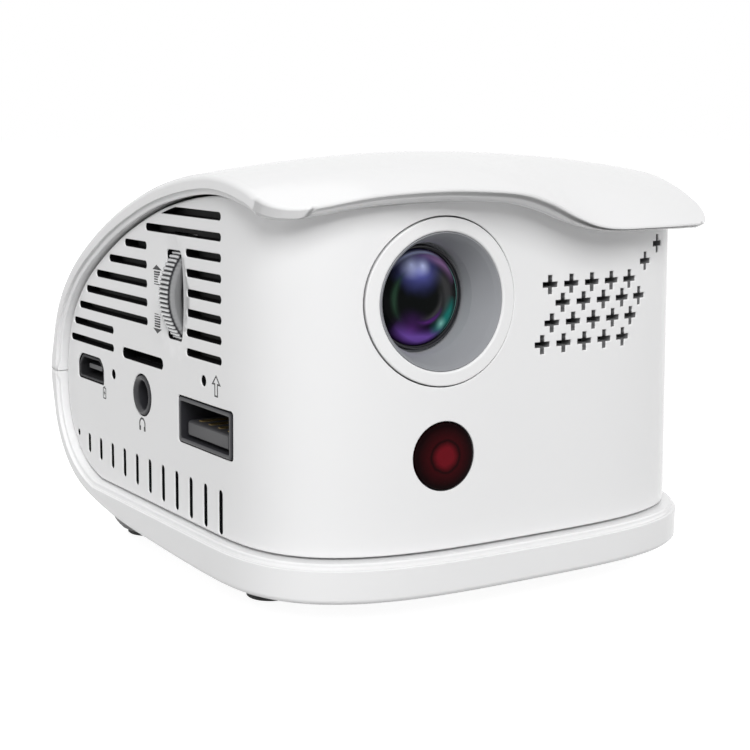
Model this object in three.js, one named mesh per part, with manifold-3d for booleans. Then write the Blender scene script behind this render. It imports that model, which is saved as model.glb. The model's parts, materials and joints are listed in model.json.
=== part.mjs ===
// Mini projector: a palm-sized, battery-powered projector in a white two-part casing.
// Millimetres, +Z up. The lens looks along -Y and the sockets are on the -X side.
// The origin is on the ground, under the middle of the body.
import * as THREE from 'three';
import { mergeVertices } from 'three/addons/utils/BufferGeometryUtils.js';
import Module from 'manifold-3d';

const wasm = await Module();
wasm.setup();

// Casing
const body_length = 73.4;
const body_width = 64.8;
const body_height = 53.3;
const crown_rise = 2.6;
const nose_bow = 2.5;
const brim_bow = 8;
const brim_wave_height = 3;
const brim_overhang = 4.3;
const lip_bevel = 1.3;
const band_thickness = 2.35;
const band_proud = 1.4;
const edge_round = 0.7;
const deck_height = 8.3;
const floor_thickness = 2;
const wall = 1.8;
const seam = 0.3;
const wall_bow = 21.7;
const wall_lean_depth = 1.1;
const base_proud = 1.6;
const plan_roundness = 3.3;
const overrun = 4;
const weld_reach = 0.0001;

// Worked out from the casing's sizes
const half_length = body_length / 2;
const cover_half = body_width / 2;
const panel_half = cover_half - band_proud;
const panel_inner = panel_half - wall;
const crest_height = body_height - crown_rise;
const wall_front = -half_length + brim_overhang;
const wall_corner = wall_front + wall_bow;
const back = (share) => share * half_length;
const up = (share) => share * crest_height;
const parting_z = up(0.432);

// The casing seen from the side, from the lip over the top and round the nose to the base's front.
// Each point is a share of the half length and of the crest's height.
const side_outline_shares = [
  [-0.782, 0.939], [-0.613, 0.984], [-0.365, 1], [-0.035, 0.966], [0.245, 0.905],
  [0.493, 0.826], [0.722, 0.722], [0.872, 0.596], [0.932, 0.432], [0.888, 0.268],
  [0.722, 0.152], [0.411, 0.099], [0, 0.08], [-0.436, 0.072], [-1.1, 0.072],
];
const outline_steps = 2;
const nose_share = Math.max(...side_outline_shares.map(([y]) => y));
const nose_index = side_outline_shares.findIndex(([y]) => y === nose_share) * outline_steps;

// The brim's lower edge seen from the front: shares of the half width and of the wave's height.
const brim_edge_shares = [
  [-1, 0], [-0.85, 0.37], [-0.67, 0.78], [-0.48, 0.97], [-0.34, 1], [-0.15, 0.87], [-0.03, 0.5],
  [0.09, -0.07], [0.2, -0.45], [0.31, -0.6], [0.5, -0.62], [0.75, -0.62], [1, -0.63],
];
const brim_start_share = -0.2;
const crown_start_share = 0.47;
const crown_full_share = 0.87;

// Lens and focus drive
const lens_z = up(0.728);
const ring_radius = 9.45;
const ring_bore = 7.95;
const ring_stand = 0.2;
const shroud_radius = 7.8;
const shroud_mouth = 7.6;
const barrel_radius = 6;
const barrel_wall = 0.4;
const barrel_recess = 5;
const barrel_clear = 5.46;
const barrel_lip = 1.2;
const glass_dome = 1.6;
const glass_edge = 1.2;
const running_gap = 0.25;
const fit_gap = 0.15;
const wheel_radius = 8;
const wheel_stand = 1.4;
const wheel_width = 3.4;
const wheel_ribs = 40;
const rib_depth = 0.3;
const wheel_y = back(-0.0545);
const wheel_z = up(0.705);
const wheel_x = -panel_half - wheel_stand + wheel_radius;
const drive_run = 12.6;
const lens_x = wheel_x + drive_run;
const slot_width = 4;
const slot_height = 10.9;
const slot_round = 0.6;
const dish_depth = 0.55;
const dish_width = 8;
const dish_height = 15;
const axle_radius = 0.9;
const pinion_teeth = 12;
const ring_teeth = 34;
const gear_width = 3;
const gear_backlash = 0.14;
const addendum_share = 0.85;
const dedendum_share = 1.25;
const undercut_share = 0.85;
const pressure_angle = THREE.MathUtils.degToRad(20);
const bracket_plate = 1.8;

// Front wall
const window_radius = 3.85;
const window_z = up(0.383);
const window_depth = 1.6;
const speaker_drop = 16.07;
const speaker_z = crest_height - speaker_drop;
const speaker_room = panel_inner - lens_x - ring_radius;
const speaker_place_share = 0.4041;
const speaker_radius_share = 0.2726;
const speaker_x = lens_x + ring_radius + speaker_place_share * speaker_room;
const speaker_radius = speaker_radius_share * speaker_room;
const plus_pitch_share = 0.378;
const plus_row_pitch_share = 0.2698;
const plus_span_share = 0.2558;
const plus_arm_share = 0.0721;
const plus_pitch = plus_pitch_share * speaker_radius;
const plus_row = plus_row_pitch_share * speaker_radius;
const plus_span = plus_span_share * speaker_radius;
const plus_arm = plus_arm_share * speaker_radius;
const speaker_depth = 4.2;
const speaker_collar = 1;
// The rows of plus-shaped holes: first hole's offset in pitches, height offset in rows, and holes.
const plus_row_shares = [[-2.24, 1.5, 5], [-1.64, 0.56, 5], [-2.14, -0.44, 5], [-2.58, -1.5, 5]];
const lone_plus_shares = [[2.74, 2.35], [3.62, 3.2]];

// Main board and sockets
const board_thickness = 0.8;
const board_drop = 12.016;
const board_bottom = lens_z - board_drop;
const board_top = board_bottom + board_thickness;
const usb_width = 13.4;
const usb_height = 5.5;
const usb_depth = 14;
const usb_skin = 0.5;
const usb_y = back(-0.272);
const usb_drop = 1.2;
const usb_z = board_bottom - usb_height / 2 - usb_drop;
const usb_tongue_height = 1.9;
const usb_tongue_side = 0.9;
const micro_width = 7.6;
const micro_height = 2.5;
const micro_depth = 5.6;
const micro_skin = 0.35;
const micro_y = back(0.64);
const micro_z = board_bottom - micro_height / 2 - micro_skin;
const card_width = 12.1;
const card_slot = 1.4;
const card_depth = 14;
const card_y = back(0.192);
const card_base = 0.5;
const card_z = board_top + card_base + card_slot / 2;
const jack_y = back(0.196);
const jack_height = 5.5;
const jack_z = board_bottom - jack_height / 2;
const jack_collar = 2.55;
const jack_bore = 1.75;
const jack_width = 6;
const jack_depth = 11.5;
const pin_radius = 0.65;
const tact_width = 3.6;
const tact_height = 1.6;
const tact_depth = 2.2;
const plunger_radius = 0.5;
const plunger_length = 0.9;
const reset_y = back(0.437);
const reset_z = board_bottom - tact_height * 0.85;
const upgrade_y = back(-0.2695);
const upgrade_z = board_top + tact_height / 2;
const power_back = 0.718;
const power_y = wall_corner + power_back;
const power_drop = 3.093;
const power_z = board_bottom - power_drop;
const power_radius = 2.9;
const power_stand = 0.7;

// Side vents
const vent_height = 0.93;
const vent_top = up(0.906);
const vent_row_count = 8;
const vent_board_gap = 1.28;
const vent_pitch = (vent_top - board_top - vent_board_gap) / vent_row_count;
const vent_front = back(-0.392);
const vent_front_end = back(-0.148);
const vent_rear_start = back(0.1436);
const vent_low_start = back(0.43);
const vent_second_end = back(0.203);
const vent_margin = 0.7;
const grille_first = back(0.6676);
const grille_last = back(-0.3798);
const grille_count = 11;
const grille_pitch = (grille_first - grille_last) / (grille_count - 1);
const grille_top_share = 0.5924;
const grille_top = deck_height + grille_top_share * (usb_z - usb_height / 2 - deck_height);
const grille_width = 0.95;
const grille_edge = 0.55;
const grille_rise_share = 0.508;
const grille_dot_y = back(0.7665);
const grille_dot_radius = 0.45;

// Inner units
const fan_size = 25;
const fan_depth = 7;
const fan_hub = 5;
const fan_blades = 7;
const fan_clear = 4.8;
const fan_bottom = deck_height + seam;
const fan_left = panel_inner - fan_depth - fan_clear;
const battery_side = 13.2;
const battery_clear = 1.4;
const battery_length = 30;
const battery_height = 7;
const engine_width = 20;
const engine_front = wheel_y + wheel_width / 2 + wall / 2;
const engine_rear = back(0.4659);
const engine_length = engine_rear - engine_front;
const sink_clear = 2.8;
const sink_fins = 7;
const screw_radius = 1;
const screw_head = 1.7;
const screw_length = 8;
const screw_crown = 0.95;
const boss_radius = 2.4;
const boss_rise = 3.14;
const boss_top = grille_top + boss_rise;
const boss_clear = 0.4;
const standoff_radius = 1.9;
const front_screw_inset = 6;
const front_screw_x = panel_inner - front_screw_inset;
const front_screw_y = back(-0.6);
const rear_screw_inset = 3.4;
const rear_screw_x = panel_inner - rear_screw_inset;
const rear_screw_y = back(0.398);
const fan_y = rear_screw_y - boss_radius - boss_clear - fan_size / 2;
const standoff_inset = 3;
const standoff_x = fan_left - wall / 2 - standoff_inset;
const engine_stand = 2.9;
// Chips on the main board: places, widths and lengths as shares of its own, and heights in its thickness.
const chip_shares = [
  [0.648, 0.062, 0.2, 0.19, 1.5], [0.877, 0.155, 0.09, 0.106, 1.25], [0.672, 0.861, 0.156, 0.106, 2],
  [0.469, 0.869, 0.111, 0.106, 2.5],
];

// Feet
const foot_radius = 5.4;
const foot_inset = 8.9;
const foot_x = cover_half - foot_inset;
const foot_clear = 0.1;
const front_foot_y = back(-0.34);
const rear_foot_y = rear_screw_y + screw_head + foot_radius + foot_clear;
const sole_height = 0.5;
const sole_radius = 2.9;
const socket_depth = 1.5;

// Facets
const round_sides = 28;
const small_sides = 8;
const cover_steps = 12;
const base_steps = 6;
const plan_steps = 20;
const foot_sides = 14;
const slot_facets = 3;

// Finishes
const finish = (color, roughness, metalness = 0) =>
  new THREE.MeshStandardMaterial({ color, roughness, metalness });
const white_gloss = finish(0xf2f2f3, 0.22);
const grey_plastic = finish(0x7e8086, 0.5);
const black_plastic = finish(0x151517, 0.5);
const black_foam = finish(0x0b0b0c, 0.95);
const grey_rubber = finish(0x9a9a9b, 0.8);
const dark_rubber = finish(0x3a3a3b, 0.9);
const silver_plastic = finish(0xd9dadc, 0.3, 0.2);
const steel = finish(0xb9bcc0, 0.3, 1);
const brass = finish(0xb08d4a, 0.4, 1);
const aluminium = finish(0xaeb2b6, 0.45, 1);
const green_board = finish(0x1d5a3a, 0.6);
const coated_glass = finish(0x2a2150, 0.05);
const red_glass = finish(0x4a0a0e, 0.1);
const cell_wrap = finish(0x2c5fa8, 0.5);
const yellow_board = finish(0xc9b24a, 0.5);

const projector = new THREE.Group();

// A closed geometry becomes a solid that can be joined and cut.
function solid(geometry) {
  const bare = geometry.index ? geometry.toNonIndexed() : geometry.clone();
  bare.deleteAttribute('normal');
  bare.deleteAttribute('uv');
  const merged = mergeVertices(bare, weld_reach);
  const mesh = new wasm.Mesh({
    numProp: 3,
    vertProperties: new Float32Array(merged.attributes.position.array),
    triVerts: new Uint32Array(merged.index.array),
  });
  return new wasm.Manifold(mesh);
}

function union(solids) {
  return solids.reduce((joined, next) => joined.add(next));
}

function addPiece(name, body, material) {
  const mesh = body.getMesh();
  const geometry = new THREE.BufferGeometry();
  geometry.setAttribute('position', new THREE.BufferAttribute(new Float32Array(mesh.vertProperties), 3));
  geometry.setIndex(new THREE.BufferAttribute(new Uint32Array(mesh.triVerts), 1));
  geometry.computeVertexNormals();
  const piece = new THREE.Mesh(geometry, material);
  piece.name = name;
  projector.add(piece);
}

// A shape drawn across an axis: (y, z) across x, (x, z) across y, (x, y) across z.
const across = {
  x: new THREE.Matrix4().set(0, 0, 1, 0, 1, 0, 0, 0, 0, 1, 0, 0, 0, 0, 0, 1),
  y: new THREE.Matrix4().set(1, 0, 0, 0, 0, 0, -1, 0, 0, 1, 0, 0, 0, 0, 0, 1),
  z: new THREE.Matrix4(),
};

function sweep(axis, shape, from, to, options = {}) {
  const geometry = new THREE.ExtrudeGeometry(shape, {
    depth: to - from, bevelEnabled: false, curveSegments: 2, ...options,
  });
  geometry.translate(0, 0, axis === 'y' ? -to : from);
  return geometry.applyMatrix4(across[axis]);
}

function prism(axis, shape, from, to, options) {
  return solid(sweep(axis, shape, from, to, options));
}

function rod(axis, u, v, radius, from, to, sides = small_sides) {
  const circle = new THREE.Shape();
  for (let side = 0; side < sides; side += 1) {
    const angle = (side + 0.5) * 2 * Math.PI / sides;
    const place = [u + radius * Math.cos(angle), v + radius * Math.sin(angle)];
    if (side === 0) circle.moveTo(...place);
    else circle.lineTo(...place);
  }
  return prism(axis, circle, from, to);
}

function block(low, high) {
  const size = high.map((value, k) => value - low[k]);
  const geometry = new THREE.BoxGeometry(...size);
  geometry.translate(...low.map((value, k) => value + size[k] / 2));
  return solid(geometry);
}

// A profile of [radius, place along the axis] points turned about a line through (u, v).
function turned(axis, u, v, profile, sides = round_sides) {
  const points = profile.map(([radius, place]) => new THREE.Vector2(radius, place));
  const geometry = new THREE.LatheGeometry(points, sides);
  geometry.rotateX(Math.PI / 2);
  geometry.translate(u, v, 0);
  if (axis === 'y') geometry.scale(1, 1, -1).applyMatrix4(across.y);
  else geometry.applyMatrix4(across[axis]);
  const body = solid(geometry);
  return body.volume() < 0 ? solid(flipped(geometry)) : body;
}

function flipped(geometry) {
  const faces = geometry.index.array;
  for (let k = 0; k < faces.length; k += 3) [faces[k], faces[k + 1]] = [faces[k + 1], faces[k]];
  return geometry;
}

function polygon(points) {
  return new THREE.Shape(points.map(([u, v]) => new THREE.Vector2(u, v)));
}

function roundedBox(u, v, width, height, radius) {
  const shape = new THREE.Shape();
  const [left, low] = [u - width / 2, v - height / 2];
  const [right, high] = [left + width, low + height];
  shape.moveTo(left + radius, low);
  shape.lineTo(right - radius, low);
  shape.absarc(right - radius, low + radius, radius, -Math.PI / 2, 0);
  shape.lineTo(right, high - radius);
  shape.absarc(right - radius, high - radius, radius, 0, Math.PI / 2);
  shape.lineTo(left + radius, high);
  shape.absarc(left + radius, high - radius, radius, Math.PI / 2, Math.PI);
  shape.lineTo(left, low + radius);
  shape.absarc(left + radius, low + radius, radius, Math.PI, Math.PI * 1.5);
  return shape;
}

// A slot with round ends, its long way along u or, when it is taller than wide, along v.
function slotShape(u, v, width, height) {
  const radius = Math.min(width, height) / 2;
  const [far_u, far_v] = [width / 2 - radius, height / 2 - radius];
  const upright = height > width;
  const points = [];
  for (const side of [0, 1]) {
    for (let k = 0; k <= slot_facets; k += 1) {
      const angle = (k / slot_facets + side - (upright ? 0 : 0.5)) * Math.PI;
      const way = side === 0 ? 1 : -1;
      points.push([u + way * far_u + radius * Math.cos(angle), v + way * far_v + radius * Math.sin(angle)]);
    }
  }
  return polygon(points);
}

function plusShape(u, v) {
  const [far, near] = [plus_span / 2, plus_arm / 2];
  const corner = [[far, -near], [far, near], [near, near], [near, far], [-near, far], [-near, near]];
  const other = corner.map(([a, b]) => [-a, -b]);
  return polygon([...corner, ...other].map(([a, b]) => [u + a, v + b]));
}

// The side outline as points [y, z], the first part of it over the top and round the nose.
const side_curve = new THREE.SplineCurve(
  side_outline_shares.map(([y, z]) => new THREE.Vector2(back(y), up(z))),
);
const outline_count = (side_outline_shares.length - 1) * outline_steps;
const outline = Array.from({ length: outline_count + 1 }, (_, k) => {
  const point = side_curve.getPoint(k / outline_count);
  const along = side_curve.getTangent(k / outline_count);
  return { y: point.x, z: point.y, in_y: along.y, in_z: -along.x };
});

function insetOutline(depth, lowest) {
  return outline.map((p) => [p.y + depth * p.in_y, Math.max(p.z + depth * p.in_z, lowest)]);
}

const lip_y = outline[0].y;
const nose_y = outline[nose_index].y;
const brim_start = back(brim_start_share);

// Height of the brim's lower edge over its port corner, eased between the wave's points.
function brimRise(x) {
  const share = THREE.MathUtils.clamp(x / cover_half, -1, 1);
  const last = brim_edge_shares.length - 1;
  let k = 0;
  while (k < last - 1 && share > brim_edge_shares[k + 1][0]) k += 1;
  const slope = (i) => {
    const [before, after] = [Math.max(i - 1, 0), Math.min(i + 1, last)];
    const run = brim_edge_shares[after][0] - brim_edge_shares[before][0];
    return (brim_edge_shares[after][1] - brim_edge_shares[before][1]) / run;
  };
  const [[x0, h0], [x1, h1]] = [brim_edge_shares[k], brim_edge_shares[k + 1]];
  const t = (share - x0) / (x1 - x0);
  const [t2, t3] = [t * t, t * t * t];
  const height = h0 * (2 * t3 - 3 * t2 + 1) + h1 * (3 * t2 - 2 * t3)
    + (x1 - x0) * (slope(k) * (t3 - 2 * t2 + t) + slope(k + 1) * (t3 - t2));
  return brim_wave_height * height;
}

// Crowns the casing across its width, bows its nose and brim, and waves the brim.
function shaped(geometry) {
  const place = geometry.attributes.position;
  for (let k = 0; k < place.count; k += 1) {
    const [x, y, z] = [place.getX(k), place.getY(k), place.getZ(k)];
    const middle = 1 - Math.min((x / cover_half) ** 2, 1);
    const high = THREE.MathUtils.smoothstep(z, up(crown_start_share), up(crown_full_share));
    const fore = THREE.MathUtils.clamp((brim_start - y) / (brim_start - lip_y), 0, 1);
    const aft = Math.max(y / nose_y, 0) ** 2;
    const brim = fore * fore;
    place.setY(k, y - high * fore * brim_bow * middle + aft * nose_bow * middle);
    place.setZ(k, z + high * ((1 - brim) * crown_rise * middle + brim * brimRise(x)));
  }
  return geometry;
}

// Everything inside the covers: the region that they enclose, with a gap to them.
function insideCovers(gap) {
  const edge = insetOutline(band_thickness + gap, deck_height + gap);
  const reach = -body_length;
  const region = [...edge, [reach, deck_height + gap], [reach, edge[0][1]]];
  const options = { steps: cover_steps };
  return solid(shaped(sweep('x', polygon(tidy(region)), -cover_half, cover_half, options)));
}

function tidy(points) {
  return points.filter(([u, v], k) => {
    const [pu, pv] = points[(k + points.length - 1) % points.length];
    return Math.hypot(u - pu, v - pv) > 1e-6 * body_length;
  });
}

// Plan of the walls or the base: straight sides and a bowed front with well-rounded corners.
function planShape(half, front, rear) {
  const bow = wall_corner - front;
  const points = [];
  for (let k = 0; k <= plan_steps; k += 1) {
    const angle = k * Math.PI / plan_steps;
    const x = half * Math.sign(Math.cos(angle)) * Math.abs(Math.cos(angle)) ** (2 / plan_roundness);
    points.push([x, wall_corner - bow * Math.sin(angle) ** (2 / plan_roundness)]);
  }
  return polygon([[half, rear], [-half, rear], ...points.reverse()]);
}

// The wall's plan carried up with its lean.
function leaning(inset, rear = half_length, proud = 0) {
  const front = wall_front + inset - proud;
  const geometry = sweep('z', planShape(panel_half - inset + proud, front, rear), 0, body_height + overrun);
  const lean = wall_lean_depth / (crest_height - deck_height);
  geometry.translate(0, -lean * deck_height, 0);
  geometry.applyMatrix4(new THREE.Matrix4().set(1, 0, 0, 0, 0, 1, lean, 0, 0, 0, 1, 0, 0, 0, 0, 1));
  return solid(geometry);
}

// Where the side panel's edge lies at a height, behind the middle of the body.
function panelEdge(z) {
  const edge = insetOutline(band_thickness + seam, 0);
  for (let k = 1; k < edge.length; k += 1) {
    const [[y0, z0], [y1, z1]] = [edge[k - 1], edge[k]];
    if (y0 > 0 && z0 >= z && z1 <= z) return y0 + (y1 - y0) * (z0 - z) / (z0 - z1);
  }
  return half_length;
}

function mirrored(body) {
  return body.mirror([1, 0, 0]);
}

// Covers
function coverBand(first, last, floor, steps) {
  const outer = outline.slice(first, last + 1).map((p) => [p.y, p.z]);
  const inner = insetOutline(band_thickness, floor).slice(first, last + 1);
  if (first === 0) inner[0] = [inner[0][0] + lip_bevel, inner[0][1]];
  const rim = tidy([...outer, ...inner.reverse()]);
  return shaped(sweep('x', polygon(rim), edge_round - cover_half, cover_half - edge_round, {
    steps, bevelEnabled: true, bevelSize: edge_round, bevelThickness: edge_round,
    bevelOffset: -edge_round, bevelSegments: 2,
  }));
}

function topCover() {
  const band = solid(coverBand(0, nose_index, 0, cover_steps));
  const parting = block([-body_width, -body_length, 0], [body_width, body_length, parting_z + seam / 2]);
  addPiece('top_cover', band.subtract(parting), white_gloss);
}

const feet_places = [
  ['front_port', -foot_x, front_foot_y], ['front_starboard', foot_x, front_foot_y],
  ['rear_port', -foot_x, rear_foot_y], ['rear_starboard', foot_x, rear_foot_y],
];

// Where the floor's underside lies at y.
function undersideAt(y) {
  for (let k = nose_index; k < outline.length - 1; k += 1) {
    const [p, q] = [outline[k], outline[k + 1]];
    if (p.z < deck_height && q.y <= y && y <= p.y) return p.z + (q.z - p.z) * (p.y - y) / (p.y - q.y);
  }
  return outline[outline.length - 1].z;
}

const screw_places = [
  ['front_port', -front_screw_x, front_screw_y], ['front_starboard', front_screw_x, front_screw_y],
  ['rear_port', -rear_screw_x, rear_screw_y], ['rear_starboard', rear_screw_x, rear_screw_y],
];

const standoff_places = [
  ['front_port', -standoff_x, back(-0.5)], ['front_starboard', standoff_x, back(-0.5)],
  ['rear_port', -standoff_x, back(0.518)], ['rear_starboard', standoff_x, back(0.518)],
];

const socketTop = (y) => undersideAt(y) + socket_depth;
const footFloor = (y) => undersideAt(y) + floor_thickness / 2;
const screwSeat = footFloor;

function bottomCover() {
  const low = solid(coverBand(nose_index, outline_count, deck_height, base_steps));
  const base_plan = prism('z', planShape(cover_half, wall_front - base_proud, body_length), 0, body_height);
  const parting = block(
    [-body_width, -body_length, parting_z - seam / 2], [body_width, body_length, body_height],
  );
  const inner_edge = insetOutline(floor_thickness, 0).slice(nose_index - outline_steps * 2);
  const region = polygon(tidy([...inner_edge, [-body_length, body_height], [0, body_height]]));
  const rim = panel_half - wall - fit_gap;
  const hollow_plan = planShape(rim, wall_front + wall + base_proud, body_length);
  const hollow = prism('x', region, -body_width, body_width).intersect(
    prism('z', hollow_plan, 0, body_height),
  );
  let tray = low.intersect(base_plan).subtract(parting).subtract(hollow);
  for (const [, x, y] of feet_places) {
    tray = tray.add(rod('z', x, y, foot_radius + wall, footFloor(y), socketTop(y) + wall / 2, foot_sides));
  }
  for (const [, x, y] of screw_places) {
    tray = tray.add(rod('z', x, y, boss_radius, footFloor(y), deck_height));
  }
  for (const [, x, y] of standoff_places) {
    tray = tray.add(rod('z', x, y, standoff_radius, footFloor(y), board_bottom));
  }
  for (const side of [-1, 1]) {
    const y = fan_y + side * fan_size / 5;
    tray = tray.add(block([fan_left - seam, y - wall / 2, footFloor(y)],
      [fan_left + fan_depth, y + wall / 2, fan_bottom]));
  }
  for (const [, x, y] of feet_places) {
    tray = tray.subtract(rod('z', x, y, foot_radius + fit_gap, 0, socketTop(y), foot_sides));
  }
  for (const [, x, y] of screw_places) {
    tray = tray.subtract(rod('z', x, y, screw_head + fit_gap, 0, footFloor(y)));
    tray = tray.subtract(rod('z', x, y, screw_radius + fit_gap, 0, body_height));
  }
  for (const [, x, y] of standoff_places) {
    tray = tray.subtract(rod('z', x, y, screw_radius + fit_gap, board_bottom - screw_length, body_height));
  }
  addPiece('bottom_cover', tray, white_gloss);
}

// The four-part vents of one side panel, as cutting solids on the port side.
function ventCuts() {
  const [from, to] = [-panel_half - overrun, -panel_inner + overrun / 2];
  const cut = (y0, y1, z) => prism('x', slotShape((y0 + y1) / 2, z, y1 - y0, vent_height), from, to);
  const row = (k) => vent_top - k * vent_pitch;
  const rearEnd = (z) => panelEdge(z) - vent_margin;
  const cuts = [
    cut(vent_front, panelEdge(row(0)) + overrun, row(0)),
    cut(vent_front, vent_second_end, row(1)),
  ];
  for (let k = 2; k <= 7; k += 1) cuts.push(cut(vent_front, vent_front_end, row(k)));
  for (let k = 2; k <= 6; k += 1) cuts.push(cut(vent_rear_start, rearEnd(row(k)), row(k)));
  for (let k = 7; k <= 8; k += 1) cuts.push(cut(vent_low_start, rearEnd(row(k)), row(k)));
  for (let k = 0; k < grille_count; k += 1) {
    const share = 1 - k / (grille_count - 1);
    const low = deck_height + grille_edge;
    const foot = low + grille_rise_share * (grille_top - low) * share ** 1.5;
    const y = grille_first - k * grille_pitch;
    const shape = slotShape(y, (grille_top + foot) / 2, grille_width, grille_top - foot);
    cuts.push(prism('x', shape, from, to));
  }
  const dot_z = grille_top - grille_dot_radius;
  cuts.push(rod('x', grille_dot_y, dot_z, grille_dot_radius, from, to, 2 * slot_facets));
  return union(cuts).intersect(insideCovers(seam + vent_margin / 2));
}

function plusCuts() {
  const cuts = [];
  const [from, to] = [wall_front - overrun, wall_front + wall_bow / 2];
  for (const [first, height, count] of plus_row_shares) {
    for (let k = 0; k < count; k += 1) {
      const x = speaker_x + (first + k) * plus_pitch;
      cuts.push(prism('y', plusShape(x, speaker_z + height * plus_row), from, to));
    }
  }
  for (const [along, height] of lone_plus_shares) {
    const x = speaker_x + along * plus_pitch;
    cuts.push(prism('y', plusShape(x, speaker_z + height * plus_row), from, to));
  }
  return union(cuts);
}

function focusCut() {
  const dish = new THREE.SphereGeometry(1, foot_sides, small_sides);
  dish.scale(dish_depth, dish_width / 2, dish_height / 2);
  dish.translate(-panel_half, wheel_y, wheel_z);
  const slot = prism('x', roundedBox(wheel_y, wheel_z, slot_width, slot_height, slot_round),
    -panel_half - overrun, -panel_inner + overrun);
  const relief = rod('y', wheel_x, wheel_z, wheel_radius + running_gap,
    wheel_y - slot_width / 2, wheel_y + slot_width / 2, round_sides);
  return union([solid(dish), slot, relief]);
}

const microShape = (grow) => {
  const [w, h] = [micro_width / 2 + grow, micro_height / 2 + grow];
  const cut = micro_height * 0.45;
  return polygon([[micro_y - w, micro_z - h], [micro_y + w, micro_z - h], [micro_y + w, micro_z + h - cut],
    [micro_y + w - cut, micro_z + h], [micro_y - w + cut, micro_z + h], [micro_y - w, micro_z + h - cut]]);
};

function socketCuts() {
  const [from, to] = [-panel_half - overrun, -panel_inner + overrun];
  const fit = 2 * fit_gap;
  return union([
    prism('x', roundedBox(usb_y, usb_z, usb_width + fit, usb_height + fit, 3 * fit_gap), from, to),
    prism('x', microShape(micro_skin + fit_gap), from, to),
    prism('x', slotShape(card_y, card_z, card_width, card_slot), from, to),
    rod('x', jack_y, jack_z, jack_collar + fit_gap, from, to, round_sides * 2 / 3),
    rod('x', reset_y, reset_z, pin_radius, from, to),
    rod('x', upgrade_y, upgrade_z, pin_radius, from, to),
  ]);
}

function mainShell() {
  let shell = leaning(0).subtract(leaning(wall, body_length));
  const collar = rod('y', speaker_x, speaker_z, speaker_radius + fit_gap + speaker_collar,
    wall_front, speakerFront() + speaker_depth / 2, round_sides);
  const collar_bore = rod('y', speaker_x, speaker_z, speaker_radius + fit_gap,
    speakerFront(), speakerFront() + speaker_depth, round_sides);
  const sound_bore = rod('y', speaker_x, speaker_z, speaker_radius - speaker_collar,
    wall_front, speakerFront() + speaker_depth, round_sides).intersect(leaning(wall, body_length));
  shell = shell.add(collar.intersect(leaning(wall / 2, body_length)));
  shell = shell.subtract(collar_bore).subtract(sound_bore);
  for (const [, x, y] of screw_places) {
    const end = Math.sign(x) * panel_half;
    const web_low = y < 0 ? deck_height + seam : grille_top + wall / 2 + seam;
    const web = block([Math.min(x, end), y - wall / 2, web_low],
      [Math.max(x, end), y + wall / 2, boss_top]);
    const boss = rod('z', x, y, boss_radius, deck_height + seam, boss_top).add(web);
    shell = shell.add(boss.intersect(leaning(wall / 2, body_length)));
    const hole_top = screwSeat(y) + screw_length + fit_gap;
    shell = shell.subtract(rod('z', x, y, screw_radius + fit_gap, 0, hole_top));
  }
  shell = shell.intersect(insideCovers(seam));
  const vents = ventCuts();
  const through = (z, radius) => rod(
    'y', lens_x, z, radius, wall_front - overrun, wall_front + wall_bow / 2, round_sides,
  );
  const button_radius = power_radius + running_gap;
  const cuts = [
    vents, mirrored(vents), plusCuts(), focusCut(), socketCuts(),
    through(lens_z, ring_radius + fit_gap), through(window_z, window_radius + fit_gap),
    rod('x', power_y, power_z, button_radius, panel_inner - overrun, panel_half + overrun, round_sides),
  ];
  addPiece('main_shell', cuts.reduce((rest, cut) => rest.subtract(cut), shell), white_gloss);
}

// Lens and front window
const frontAt = (x, z) => {
  const bow = wall_bow * (1 - Math.abs(x / panel_half) ** plan_roundness) ** (1 / plan_roundness);
  return wall_corner - bow + wall_lean_depth * (z - deck_height) / (crest_height - deck_height);
};
const lens_face = frontAt(lens_x, lens_z);
const barrel_front = lens_face + barrel_recess;
const barrel_back = engine_front - barrel_clear;
const shroud_back = barrel_front + barrel_wall * 2;
const speakerFront = () => frontAt(speaker_x + speaker_radius, speaker_z) + wall + fit_gap;

function lensParts() {
  const depth = wall + base_proud;
  const face_layer = leaning(0, half_length, ring_stand).subtract(leaning(depth, body_length));
  const [from, to] = [wall_front - overrun, wall_front + wall_bow / 2];
  const ring = rod('y', lens_x, lens_z, ring_radius, from, to, round_sides)
    .subtract(rod('y', lens_x, lens_z, ring_bore, from, to + wall_bow, round_sides));
  addPiece('lens_ring', ring.intersect(face_layer), white_gloss);
  const cone = turned('y', lens_x, lens_z, [
    [0, lens_face - overrun], [shroud_mouth, lens_face - overrun], [shroud_mouth, lens_face - ring_stand],
    [barrel_radius + running_gap, barrel_front - running_gap], [barrel_radius + running_gap, barrel_back],
    [0, barrel_back],
  ]);
  const shroud = rod('y', lens_x, lens_z, shroud_radius, wall_front - overrun, shroud_back, round_sides)
    .intersect(leaning(0, half_length, ring_stand / 2)).subtract(cone);
  addPiece('lens_shroud', shroud, grey_plastic);
  const bore = barrel_radius - barrel_wall;
  addPiece('lens_barrel', turned('y', lens_x, lens_z, [
    [bore - barrel_wall, barrel_front], [barrel_radius, barrel_front], [barrel_radius, barrel_back],
    [bore - barrel_wall, barrel_back], [bore - barrel_wall, barrel_front + barrel_lip + glass_edge * 2],
    [bore, barrel_front + barrel_lip + glass_edge * 2], [bore, barrel_front + barrel_lip],
    [bore - barrel_wall, barrel_front],
  ]), black_plastic);
  const seat = barrel_front + barrel_lip + glass_edge * 2;
  const rim = bore - fit_gap;
  const glass = [[0, seat], [rim, seat], [rim, seat - glass_edge]];
  const dome_steps = 4;
  for (let k = 1; k <= dome_steps; k += 1) {
    const share = k / dome_steps;
    glass.push([rim * (1 - share), seat - glass_edge - glass_dome * (1 - (1 - share) ** 2)]);
  }
  addPiece('front_lens', turned('y', lens_x, lens_z, glass), coated_glass);
}

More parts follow.
